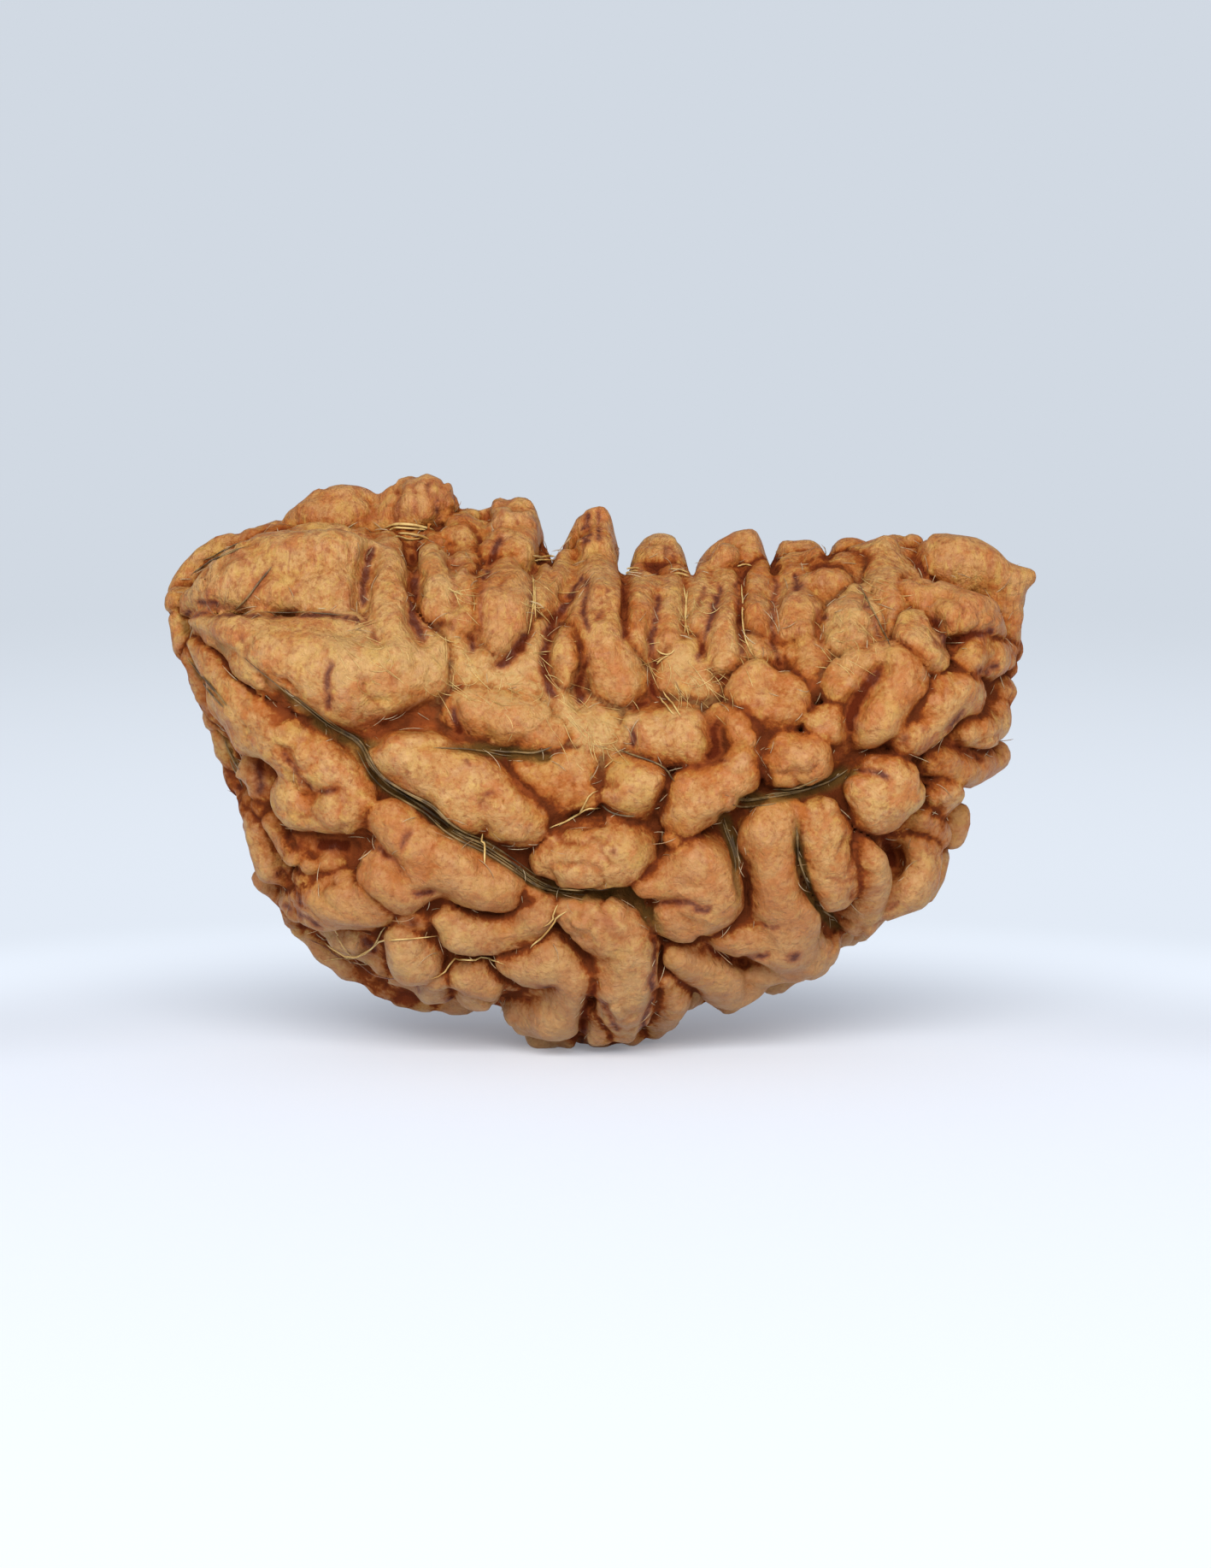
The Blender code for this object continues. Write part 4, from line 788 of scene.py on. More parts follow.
# length along a line up to each of its points
def runOf(line):
    return np.r_[0, np.cumsum(np.linalg.norm(np.diff(line, axis=0), axis=1))]


def resampled(line, count):
    run = runOf(line)
    ticks = np.linspace(0, run[-1], count)
    return np.stack([np.interp(ticks, run, line[:, a]) for a in range(line.shape[1])], 1)


def evenly(points, gap):
    p = np.array(points, float)
    if len(p) > 2:
        p = smoothPath(p, 6)
    return resampled(p, max(2, int(runOf(p)[-1] / gap) + 1))


def gridRound(points, margin):
    cells = cellsRound(points, margin)
    return cells, np.meshgrid(gridX[cells[0]], gridY[cells[1]], gridZ[cells[2]], indexing="ij")


def lineDistance(grid, line):
    gap = np.full(grid[0].shape, float(farOff))
    for a, b in zip(line, line[1:]):
        gap = np.minimum(gap, tubeDistance(*grid, np.r_[a, 0], np.r_[b, 0]))
    return gap


def raiseTo(field, cells, values):
    field[cells] = np.maximum(field[cells], values)


shape, near, second, which, wrinkle = growStone()
print("stone grown on a grid of", gridShape)

carving = {
    "crackStep": .12, "crackWobble": .045, "wobbleSeed": 5, "crackReach": .8,
    "cutWider": 1.3, "cutDeeper": 1.25, "cutLeast": .04,
    "stainAndShadeWider": .85, "stainAndShadeSinks": (.6, 1.2),   # the dark paint, stain and painted shade, goes down with the cut
    "spotReach": 2.2,
    "grooveStep": .2, "grooveReach": 1.2, "grooveMargin": .15,
    "webEnds": 1.2,                              # depth y over which the web comes in
    "notchRounding": .35,
}
carved = np.zeros(gridShape, np.float32)
stainAndShade, furrow, web = carved.copy(), carved.copy(), carved.copy()
wobble = np.random.default_rng(carving["wobbleSeed"])
for width, depth, strength, *points in cracks:
    line = evenly(points, carving["crackStep"])
    line[1:-1] += wobble.normal(0, carving["crackWobble"], line[1:-1].shape)
    line = seenOn(shape, line)
    cells, grid = gridRound(line, carving["crackReach"])
    gap = lineDistance(grid, line)
    cut = carving["cutWider"] * width + carving["cutLeast"]
    raiseTo(carved, cells, carving["cutDeeper"] * depth * np.exp(-(gap / cut) ** 2))
    for sink in carving["stainAndShadeSinks"]:
        gap = np.minimum(gap, lineDistance(grid, line + (0, sink * depth, 0)))
    cut = carving["stainAndShadeWider"] * width + carving["cutLeast"]
    raiseTo(stainAndShade, cells, strength * np.exp(-(gap / cut) ** 2))
# dark spots: partly stains, partly painted shade in caves and pits
for size, strength, x, z in spots:
    point = seenOn(shape, [(x, z)])
    cells, grid = gridRound(point, carving["spotReach"] * size)
    gap = np.sqrt(sum((axis - point[0, n]) ** 2 for n, axis in enumerate(grid)))
    raiseTo(stainAndShade, cells, strength * np.exp(-(gap / size) ** 2))
for strands, width, depth, *points in grooves:
    line = seenOn(shape, evenly(points, carving["grooveStep"]))
    cells, grid = gridRound(line, carving["grooveReach"])
    gap = lineDistance(grid, line)
    raiseTo(carved, cells, depth * np.exp(-(gap / width) ** 2))
    raiseTo(furrow, cells, np.exp(-(gap / (width + carving["grooveMargin"])) ** 2))
towardFront = np.clip(-gridY / carving["webEnds"], 0, 1)[None, :, None]
for x, z, size, strength in webbing:
    at = seenOn(shape, [(x, z)])[0]
    apart = (gridX[:, None, None] - at[0]) ** 2 + (gridZ[None, None, :] - at[2]) ** 2
    web = np.maximum(web, strength * np.exp(-apart / size ** 2) * towardFront)
shape = shape + carved
for x, z, widening in notches:
    wedge = np.abs(gridX - x)[:, None, None] - widening * (gridZ - z)[None, None, :]
    wedge = wedge / math.hypot(1, widening)
    shape = -blendMin(-shape, wedge, carving["notchRounding"]).astype(np.float32)
underFloor = np.broadcast_to(-gridZ, gridShape)
shape = np.maximum(shape, underFloor).astype(np.float32)
print("creases cut")


# skin of the grid: one corner in each cell the surface passes through
def skin(grid):
    solid = grid < 0
    cells = tuple(n - 1 for n in grid.shape)
    mixed = np.zeros(cells, np.uint8)
    for cx in (0, 1):
        for cy in (0, 1):
            for cz in (0, 1):
                mixed += solid[cx:cx + cells[0], cy:cy + cells[1], cz:cz + cells[2]]
    active = np.argwhere((mixed > 0) & (mixed < 8))
    total = np.zeros((len(active), 3))
    count = np.zeros(len(active))
    for axis in range(3):
        others = [a for a in range(3) if a != axis]
        for u in (0, 1):
            for v in (0, 1):
                start = active.copy()
                start[:, others[0]] += u
                start[:, others[1]] += v
                end = start.copy()
                end[:, axis] += 1
                a = grid[tuple(start.T)]
                b = grid[tuple(end.T)]
                cross = (a < 0) != (b < 0)
                t = np.where(cross, a / np.where(cross, a - b, 1), 0)
                point = start.astype(float)
                point[:, axis] += t
                total[cross] += point[cross]
                count[cross] += 1
    corners = gridLow + total / count[:, None] * step
    index = np.full(cells, -1, np.int32)
    index[tuple(active.T)] = np.arange(len(active))
    faces = []
    for axis in range(3):
        first = [slice(None)] * 3
        after = [slice(None)] * 3
        first[axis], after[axis] = slice(0, -1), slice(1, None)
        a, b = solid[tuple(first)], solid[tuple(after)]
        edges = np.argwhere(a != b)
        goesOut = a[tuple(edges.T)]
        u, v = [(1, 2), (2, 0), (0, 1)][axis]
        keep = (edges[:, u] > 0) & (edges[:, v] > 0) & (edges[:, u] < cells[u]) & (edges[:, v] < cells[v])
        edges, goesOut = edges[keep], goesOut[keep]
        ring = []
        for du, dv in ((1, 1), (0, 1), (0, 0), (1, 0)):
            cell = edges.copy()
            cell[:, u] -= du
            cell[:, v] -= dv
            ring.append(index[tuple(cell.T)])
        ring = np.stack(ring, 1)
        ring[~goesOut] = ring[~goesOut][:, ::-1]
        faces.append(ring)
    return corners, np.vstack(faces)


def put(name, data):
    made = bpy.data.objects.new(name, data)
    bpy.context.scene.collection.objects.link(made)
    return made


def shadeSmooth(mesh):
    for polygon in mesh.polygons:
        polygon.use_smooth = True


def meshOf(name, corners, faces):
    mesh = bpy.data.meshes.new(name)
    sides = faces.shape[1]
    mesh.vertices.add(len(corners))
    mesh.vertices.foreach_set("co", np.ascontiguousarray(corners * mm, np.float32).ravel())
    mesh.loops.add(faces.size)
    mesh.loops.foreach_set("vertex_index", np.ascontiguousarray(faces, np.int32).ravel())
    mesh.polygons.add(len(faces))
    mesh.polygons.foreach_set("loop_start", np.arange(0, faces.size, sides, dtype=np.int32))
    mesh.update(calc_edges=True)
    mesh.validate()
    return mesh


# the largest closed skin only, without pockets
def outerSkin(corners, faces):
    group = np.arange(len(corners))
    while True:
        lowest = group[faces].min(1)
        new = group.copy()
        for side in range(faces.shape[1]):
            np.minimum.at(new, faces[:, side], lowest)
        new = new[new]
        if (new == group).all():
            break
        group = new
    names, sizes = np.unique(group, return_counts=True)
    main = names[sizes.argmax()]
    keep = group == main
    renumber = np.cumsum(keep) - 1
    return corners[keep], renumber[faces[keep[faces[:, 0]]]]


corners, faces = outerSkin(*skin(shape))
print("skin made:", len(corners), "corners")
seed = put("rudraksha_stone", meshOf("rudraksha_stone", corners, faces))


def settle(obj, kind, **settings):
    modifier = obj.modifiers.new(kind.lower(), kind)
    for key, value in settings.items():
        setattr(modifier, key, value)
    graph = bpy.context.evaluated_depsgraph_get()
    mesh = bpy.data.meshes.new_from_object(obj.evaluated_get(graph), depsgraph=graph)
    obj.modifiers.clear()
    old = obj.data
    obj.data = mesh
    bpy.data.meshes.remove(old)


settle(seed, "SMOOTH", factor=stone["smoothing"], iterations=1)
settle(seed, "TRIANGULATE")
settle(seed, "DECIMATE", ratio=stone["triangles"] / len(seed.data.polygons))
seed.data.name = "rudraksha_stone"
shadeSmooth(seed.data)
print("stone meshed:", len(seed.data.polygons), "triangles")


# masks on the stone's corners, which its finish reads
def boxBlur(grid, reach, rounds=2):
    n = max(1, int(round(reach / step)))
    for turn in range(rounds):
        for axis in range(3):
            total = np.cumsum(grid, axis, dtype=np.float32)
            ticks = np.arange(grid.shape[axis])
            upper = np.take(total, np.minimum(ticks + n, grid.shape[axis] - 1), axis)
            lower = np.take(total, np.maximum(ticks - n - 1, 0), axis)
            grid = (upper - lower) / (2 * n + 1)
    return grid


def cornerPoints(mesh):
    co = np.empty(len(mesh.vertices) * 3, np.float32)
    mesh.vertices.foreach_get("co", co)
    return co.reshape(-1, 3).astype(float) / mm


masking = {
    "creaseWidth": .15, "marginWidth": .6,
    "closeReach": .25, "hollowFrom": .48, "hollowGain": 3.2,
    "wideReach": .8, "deepFrom": .3, "deepGain": 2.6,
    "toneSeed": 3,
}
skinPoints = cornerPoints(seed.data)
# how shut in each corner is, near and wide: these masks drive the painted shade in the hollows
filled = np.clip(.5 - shape / step, 0, 1)
closeHollow = sampled(boxBlur(filled, masking["closeReach"]), skinPoints)
wideHollow = sampled(boxBlur(filled, masking["wideReach"]), skinPoints)
creaseGap = np.maximum(sampled(second, skinPoints) - sampled(near, skinPoints), 0)
lobeTone = np.random.default_rng(masking["toneSeed"]).uniform(0, 1, len(lobes) + 1)
cell = np.clip(np.round((skinPoints - gridLow) / step).astype(int), 0, np.array(gridShape) - 1)
skinMasks = {
    "crease": np.exp(-creaseGap / masking["creaseWidth"]),
    "margin": np.exp(-creaseGap / masking["marginWidth"]),
    "hollow": (closeHollow - masking["hollowFrom"]) * masking["hollowGain"],
    "deep": (wideHollow - masking["deepFrom"]) * masking["deepGain"],
    "stainAndShade": sampled(stainAndShade, skinPoints),
    "furrow": sampled(furrow, skinPoints),
    "tone": lobeTone[which[tuple(cell.T)]],
    "wrinkle": sampled(wrinkle, skinPoints),
    "web": sampled(web, skinPoints),
}
for name in skinMasks:
    skinMasks[name] = np.clip(skinMasks[name], 0, 1)
    layer = seed.data.attributes.new(name, "FLOAT", "POINT")
    layer.data.foreach_set("value", np.ascontiguousarray(skinMasks[name], np.float32))
print("masks written")


def nodesOf(material):
    material.use_nodes = True
    tree = material.node_tree
    return tree, tree.nodes["Principled BSDF"]


# short hands for adding nodes to a tree and joining them
class Maker:
    def __init__(self, tree):
        self.tree = tree

    def add(self, kind, values=None, **settings):
        node = self.tree.nodes.new(kind)
        for key, value in settings.items():
            setattr(node, key, value)
        self.fill(node, values or {})
        return node

    def fill(self, node, values):
        for key, value in values.items():
            if isinstance(value, bpy.types.NodeSocket):
                self.tree.links.new(value, node.inputs[key])
            else:
                node.inputs[key].default_value = value

    def here(self, kind="Object"):
        return self.add("ShaderNodeTexCoord").outputs[kind]

    def attribute(self, name):
        return self.add("ShaderNodeAttribute", attribute_name=name).outputs["Fac"]

    def noise(self, where, size, detail=3, rough=.55, distort=0):
        values = {"Vector": where, "Scale": 1 / (size * mm), "Detail": detail, "Roughness": rough,
                  "Distortion": distort}
        return self.add("ShaderNodeTexNoise", values).outputs["Fac"]

    def ramp(self, value, low, high, fromLow=0, fromHigh=1):
        values = {"Value": value, "From Min": low, "From Max": high, "To Min": fromLow, "To Max": fromHigh}
        return self.add("ShaderNodeMapRange", values, interpolation_type="SMOOTHSTEP").outputs["Result"]

    def plus(self, a, b, clamp=False):
        return self.add("ShaderNodeMath", {0: a, 1: b}, operation="ADD", use_clamp=clamp).outputs[0]

    def times(self, a, b):
        return self.add("ShaderNodeMath", {0: a, 1: b}, operation="MULTIPLY").outputs[0]

    # an even field round nought
    def centred(self, value, amount):
        return self.times(self.plus(value, -.5), amount)

    # places pushed about, so that a noise read at them runs in whorls
    def bent(self, where, size, amount):
        push = self.add("ShaderNodeTexNoise", {"Vector": where, "Scale": 1 / (size * mm), "Detail": 2})
        push = self.add("ShaderNodeVectorMath", {0: push.outputs["Color"], 1: (.5, .5, .5)},
                        operation="SUBTRACT").outputs[0]
        push = self.add("ShaderNodeVectorMath", {0: push, "Scale": amount * mm}, operation="SCALE")
        return self.add("ShaderNodeVectorMath", {0: where, 1: push.outputs[0]}).outputs[0]

    def steps(self, value, stops):
        node = self.add("ShaderNodeValToRGB", {0: value})
        while len(node.color_ramp.elements) < len(stops):
            node.color_ramp.elements.new(.5)
        for element, (place, colour) in zip(node.color_ramp.elements, stops):
            element.position = place
            element.color = colour
        return node.outputs["Color"]

    def blend(self, share, a, b, kind="MIX"):
        node = self.add("ShaderNodeMix", {0: share}, data_type="RGBA", blend_type=kind)
        self.fill(node, {6: a, 7: b})
        return node.outputs[2]


# screen colour to the linear one the shader wants
def paint(red, green, blue):
    def line(v):
        v /= 255
        return v / 12.92 if v < .04045 else ((v + .055) / 1.055) ** 2.4
    return (line(red), line(green), line(blue), 1)


skinFinish = {
    # from the crown of a lobe down to the bottom of a crevice: partly the skin's darker colour in the
    # crevices, partly painted shade there and on the lower flanks of the lobes
    "crownToCrevice": [
        (.0, paint(228, 175, 112)), (.22, paint(214, 151, 84)), (.45, paint(194, 115, 50)),
        (.66, paint(166, 86, 36)), (.85, paint(138, 66, 30)), (1, paint(116, 56, 28)),
    ],
    "yellow": paint(232, 186, 100),
    "orange": paint(206, 118, 50),
    "pink": paint(216, 160, 124),
    "rust": paint(168, 86, 44),
    "maroon": paint(100, 38, 18),
    "plum": paint(112, 44, 30),
    "olive": paint(110, 92, 46),
    "straw": paint(226, 186, 122),
    "grey": paint(184, 142, 100),
    "tone": (.62, .6, .53, 1),                 # the whole skin is this much darker and warmer
    # noises on it: size in mm, detail, roughness, distortion
    "noises": {
        "patch": (1.3, 4, .6, 0), "mottle": (.42, 4, .6, .4), "fine": (.15, 3, .6, 0),
        "margins": (2.2, 3, .6, 0), "wide": (1.05, 3, .55, .4), "middling": (.85, 4, .6, .5),
        "blush": (.6, 4, .6, .5), "small": (.36, 4, .65, .4), "rusting": (.5, 4, .6, .4),
        "broken": (1.1, 3, .6, 0), "folds": (.32, 5, .65, .7),
    },
    "uprightScale": (1, 1, .2),                # these run up the teeth
    "uprightNoises": {"streak": (.22, 4, .65, .3), "upFolds": (.2, 4, .65, .4)},
    "fibrous": (.3, 4, .7, 1.2), "fibrousBend": (.8, .5),
    # what takes the level of the skin towards the crevice colours, which are painted shade as well as
    # darker skin
    "levels": {"hollow": .34, "crease": .42, "wrinkle": .2, "web": -.34},
    "speckle": {"mottle": .75, "patch": .6, "fine": .7},
    "deepShare": (.52, .2),                    # below the teeth, on the teeth
    # each ramp: from, to, and the share at each where it isn't 0 and 1
    "marginRamp": (.38, .62, .08, .42),
    "paintedTo": (.45, .85),                   # levels where the paints below fade out
    # paints over the colour: name, what it follows, from, to, share at each
    "paints": [
        ("yellow", "wide", .5, .68, 0, .5), ("orange", "middling", .46, .64, 0, .75),
        ("pink", "blush", .53, .7, 0, .35), ("yellow", "small", .53, .7, 0, .55),
        ("orange", "tone", .3, 1, 0, .35), ("rust", "rusting", .54, .7, 0, .4),
        ("rust", "fine", .52, .68, 0, .4),
    ],
    "streaks": [("rust", "streak", .53, .68, 0, .55), ("yellow", "streak", .46, .32, 0, .5)],
    "streaksFrom": 12.2, "streaksFull": 14,    # upright streaks on the teeth, mm
    "greyBelow": 9.5, "greyFull": 1, "greyShare": .5,
    "webRamp": (.4, .62, .15, .85),
    "lineRamps": ((.35, .9), (.46, .6)), "lineShare": .55,
    "greenRamps": ((.25, .8), (.35, .6)), "greenShare": .6,
    "stainAndShadeSpeckle": .8,
    "stainAndShadeColours": [("rust", .12, .45, 0, .65), ("maroon", .34, .76, 0, .92)],
    "lipRamps": ((.3, .8), (.5, .6)), "lipShare": .45,
    "roughRamp": (.3, .9, .44, .85), "roughSpeckle": (.3, .7, -.06, .1),
    "shineRamp": (.2, .75, .34, .04),
    "relief": {"folds": .8, "fine": .22}, "teethRelief": .7,
    "bump": 1, "bumpHeight": .15,
}


def stoneFinish():
    facts = skinFinish
    material = bpy.data.materials.new("seed_stone_skin")
    tree, shader = nodesOf(material)
    m = Maker(tree)
    here = m.here()
    upright = m.add("ShaderNodeMapping", {"Vector": here, "Scale": facts["uprightScale"]}).outputs[0]
    height = m.add("ShaderNodeSeparateXYZ", {0: here}).outputs["Z"]
    onTeeth = m.ramp(height, facts["streaksFrom"] * mm, facts["streaksFull"] * mm)
    field = {name: m.attribute(name) for name in skinMasks}
    field |= {name: m.noise(here, *noise) for name, noise in facts["noises"].items()}
    field |= {name: m.noise(upright, *noise) for name, noise in facts["uprightNoises"].items()}

    # the level grows near the lobes' edges and in hollows: partly darker skin, partly painted shade
    margin = m.times(field["margin"], m.ramp(field["margins"], *facts["marginRamp"]))
    deepShare = m.ramp(onTeeth, 0, 1, *facts["deepShare"])
    level = m.plus(margin, m.times(field["deep"], deepShare))
    for name, weight in facts["levels"].items():
        level = m.plus(level, m.times(field[name], weight))
    for name, amount in facts["speckle"].items():
        level = m.plus(level, m.centred(field[name], amount))
    level = m.plus(level, 0, clamp=True)
    colour = m.steps(level, facts["crownToCrevice"])
    painted = m.ramp(level, *facts["paintedTo"], 1, 0)

    def over(colour, share, name):
        return m.blend(m.times(share, painted), colour, facts[name])

    for name, follows, *ramp in facts["paints"]:
        colour = over(colour, m.ramp(field[follows], *ramp), name)
    for name, follows, *ramp in facts["streaks"]:
        colour = over(colour, m.times(m.ramp(field[follows], *ramp), onTeeth), name)
    low = m.ramp(height, facts["greyBelow"] * mm, facts["greyFull"] * mm, 0, facts["greyShare"])
    colour = over(colour, low, "grey")
    fibrous = m.noise(m.bent(here, *facts["fibrousBend"]), *facts["fibrous"])
    colour = m.blend(m.times(field["web"], m.ramp(fibrous, *facts["webRamp"])), colour, facts["straw"])

    # reddish wrinkles, green grooves, stains with painted shade in the pits and caves, and the lips of
    # crevices
    def both(first, second, ramps, share):
        return m.times(m.times(m.ramp(first, *ramps[0]), m.ramp(second, *ramps[1])), share)

    line = both(field["wrinkle"], field["broken"], facts["lineRamps"], facts["lineShare"])
    colour = m.blend(line, colour, facts["rust"])
    green = both(field["furrow"], field["deep"], facts["greenRamps"], facts["greenShare"])
    colour = m.blend(green, colour, facts["olive"])
    # stains, and painted shade in the pits and caves
    halo = m.plus(field["stainAndShade"], m.centred(field["mottle"], facts["stainAndShadeSpeckle"]))
    for name, *ramp in facts["stainAndShadeColours"]:
        colour = m.blend(m.ramp(halo, *ramp), colour, facts[name])
    lip = both(field["crease"], field["broken"], facts["lipRamps"], facts["lipShare"])
    colour = m.blend(lip, colour, facts["plum"])
    colour = m.blend(1, colour, facts["tone"], "MULTIPLY")
    tree.links.new(colour, shader.inputs["Base Color"])

    speckle = m.ramp(field["mottle"], *facts["roughSpeckle"])
    tree.links.new(m.plus(speckle, m.ramp(level, *facts["roughRamp"])), shader.inputs["Roughness"])
    tree.links.new(m.ramp(level, *facts["shineRamp"]), shader.inputs["Specular IOR Level"])
    relief = m.times(m.times(field["upFolds"], onTeeth), facts["teethRelief"])
    for name, amount in facts["relief"].items():
        relief = m.plus(relief, m.times(field[name], amount))
    bump = m.add("ShaderNodeBump", {"Strength": facts["bump"], "Height": relief,
                                    "Distance": facts["bumpHeight"] * mm})
    tree.links.new(bump.outputs[0], shader.inputs["Normal"])
    return material


seed.data.materials.append(stoneFinish())
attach(seed, "root")
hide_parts("rudraksha_seed")
print("stone finished")

# dried fibres: radius, how far they bow off the skin, then x, z along each
oliveThreads = [
    (.035, .05, (-3.5, 9.65), (-2.9, 9.6), (-2, 9.6), (-1.5, 9.75)),
    (.03, .05, (.7, 9.65), (1.1, 9.45), (2.0, 9.1), (2.4, 8.7), (2.5, 8.6)),
    (.03, .05, (.1, 7.9), (.5, 7.6), (1.2, 7.5)),
    (.03, .05, (-11.8, 14.2), (-11.2, 14.8), (-10.6, 15.6)),
    (.03, .04, (7.2, 4.5), (7.45, 4.4), (7.7, 4.2)),
    (.025, .04, (8.5, 15.0), (8.9, 14.2), (9.5, 13.0)),
    (.02, .02, (-11.0, 14.1), (-10.0, 14.12), (-9.0, 14.05), (-8.2, 14.0)),
]
strawThreads = [
    (.05, .06, (-6.95, 16.85), (-6.4, 17.0), (-5.8, 16.95), (-5.35, 16.8)),
    (.04, .05, (-6.8, 16.75), (-6.2, 16.85), (-5.6, 16.75)),
    (.04, .05, (-6.5, 16.65), (-6.0, 16.6), (-5.5, 16.45)),
    (.035, .04, (-6.6, 16.55), (-6.1, 16.45), (-5.7, 16.5)),
    (.04, .05, (-2.15, 15.95), (-1.8, 15.85), (-1.4, 15.9)),
    (.03, .05, (-2.1, 15.8), (-1.7, 15.75), (-1.4, 15.8)),
    (.03, .05, (.9, 15.35), (1.3, 15.42)), (.03, .05, (.95, 15.5), (1.35, 15.5)),
    (.03, .05, (2.35, 15.5), (2.7, 15.45), (2.95, 15.35)),
    (.03, .05, (2.45, 15.35), (2.95, 15.25)), (.03, .05, (4.5, 15.6), (5.0, 15.6)),
    (.03, .04, (-2.15, 15.3), (-2.12, 14.7), (-2.2, 14.0), (-2.3, 13.4)),
    (.025, .04, (-2.05, 15.0), (-2.1, 14.4), (-2.05, 13.9)),
    (.025, .04, (2.75, 15.0), (2.85, 14.2), (2.8, 13.4)),
    (.025, .04, (2.9, 14.8), (2.8, 14.0), (2.95, 13.3)),
    (.025, .04, (4.7, 13.9), (4.8, 13.2), (5.1, 12.6)),
    (.025, .04, (4.65, 15.0), (4.7, 14.2), (4.75, 13.4)),
    (.03, .08, (-1.6, 7.1), (-1.0, 7.4), (-.5, 7.75), (-.3, 8.2), (0, 8.3)),
    (.025, .08, (-1.3, 7.15), (-.8, 7.55), (-.3, 7.8), (.1, 7.75)),
    (.02, .06, (.2, 9.05), (.4, 9.1), (.5, 9.3)),
    (.03, .08, (2.1, 11.6), (2.4, 11.1), (2.7, 10.7)),
    (.025, .08, (2.0, 11.4), (2.2, 11.0), (2.5, 10.75)),
    (.03, .06, (1.9, 12.4), (2.3, 12.7)), (.025, .05, (1.9, 12.9), (2.3, 12.65), (2.5, 12.9)),
    (.028, .12, (-8.9, 3.4), (-8.3, 3.1), (-8.0, 2.95), (-7.3, 3.35), (-6.9, 3.45),
     (-6.3, 3.5), (-5.2, 3.6)),
    (.02, .1, (-8.6, 3.9), (-8.3, 3.4), (-8.0, 2.95)),
    (.025, .1, (-8.9, 2.8), (-8.0, 2.95), (-7.3, 3.3), (-6.9, 3.9)),
    (.028, .12, (-5.5, 2.2), (-5.0, 2.4), (-4.7, 2.7), (-4.6, 2.95), (-4.2, 2.95), (-3.3, 2.8),
     (-3.0, 2.65)),
    (.03, .12, (-1.0, 4.4), (-1.5, 4.1), (-1.9, 3.6), (-2.2, 3.2)),
    (.025, .1, (-1.3, 4.6), (-1.55, 4.1), (-1.8, 3.9)),
    (.035, .15, (-3.75, 6.95), (-3.8, 6.4), (-3.7, 5.9)),
]
rustThreads = [
    (.025, .1, (-8.0, 2.95), (-7.4, 2.5), (-6.9, 2.3), (-6.3, 2.2)),
    (.02, .08, (-9.4, 3.5), (-8.6, 3.1), (-7.8, 2.6)),
]
fibres = {
    "layStep": .1, "layHeight": .8, "layRounds": 4, "feel": .15,
    "grooveRadius": (.02, .036), "grooveStep": .15, "grooveLength": (.2, .6), "grooveLeast": 4,
    "grooveSpread": (-1.3, 1.3), "grooveWave": .3, "grooveWaves": (2, 7), "grooveBow": (0, .08),
    "inWeb": 250, "webLength": (.4, 1.2), "webRadius": (.006, .012), "webHeading": (-.75, .5),
    "webSpread": .55, "webBend": .5, "webLinks": 4, "webBow": (0, .025),
    "hairs": 1500, "hairLength": (.25, .8), "hairRadius": (.009, .016), "hairsBelow": .42,
    "hairsFrom": .6, "hairBend": .35, "hairRise": (.05, .35), "hairRoot": .01, "hairLinks": 6,
    "sides": 5, "hairSides": 3, "links": 14,
    "taper": .85, "taperPower": 6,
    "seed": 11,
}


def outwardAt(points):
    slope = np.stack([sampled(shape, points + h) - sampled(shape, points - h)
                      for h in np.eye(3) * fibres["feel"]], 1)
    return slope / (np.linalg.norm(slope, axis=1)[:, None] + 1e-6)


# a thread that lies on the stone along x, z of the lists
def laid(points, radius, bow, count):
    line = seenOn(shape, evenly(points, fibres["layStep"]))
    line = line + outwardAt(line) * radius * fibres["layHeight"]
    for turn in range(fibres["layRounds"]):
        line[1:-1] = .5 * line[1:-1] + .25 * (line[:-2] + line[2:])
    line = resampled(line, count)
    lift = bow * np.sin(np.linspace(0, math.pi, count))
    return line + outwardAt(line) * lift[:, None]


def tubes(name, paths, radii, sides):
    paths, radii = np.array(paths), np.array(radii)
    along = np.gradient(paths, axis=1)
    along /= np.linalg.norm(along, axis=2)[:, :, None] + 1e-9
    across = np.cross(along[:, 0], (.31, .52, .79))
    taper = np.abs(np.linspace(-1, 1, paths.shape[1])) ** fibres["taperPower"]
    taper = 1 - fibres["taper"] * taper
    rings = []
    for n in range(paths.shape[1]):
        across = across - (across * along[:, n]).sum(1)[:, None] * along[:, n]
        across /= np.linalg.norm(across, axis=1)[:, None] + 1e-9
        other = np.cross(along[:, n], across)
        for k in range(sides):
            turn = 2 * math.pi * k / sides
            reach = (radii * taper[n])[:, None]
            rings.append(paths[:, n] + reach * (math.cos(turn) * across + math.sin(turn) * other))
    corners = np.stack(rings, 1)
    each = corners.shape[1]
    quads = []
    for n in range(paths.shape[1] - 1):
        for k in range(sides):
            a, b = n * sides + k, n * sides + (k + 1) % sides
            quads.append((a, b, b + sides, a + sides))
    quads = np.array(quads)
    faces = (np.arange(len(paths)) * each)[:, None, None] + quads[None]
    mesh = meshOf(name, corners.reshape(-1, 3), faces.reshape(-1, 4))
    shadeSmooth(mesh)
    return put(name, mesh)


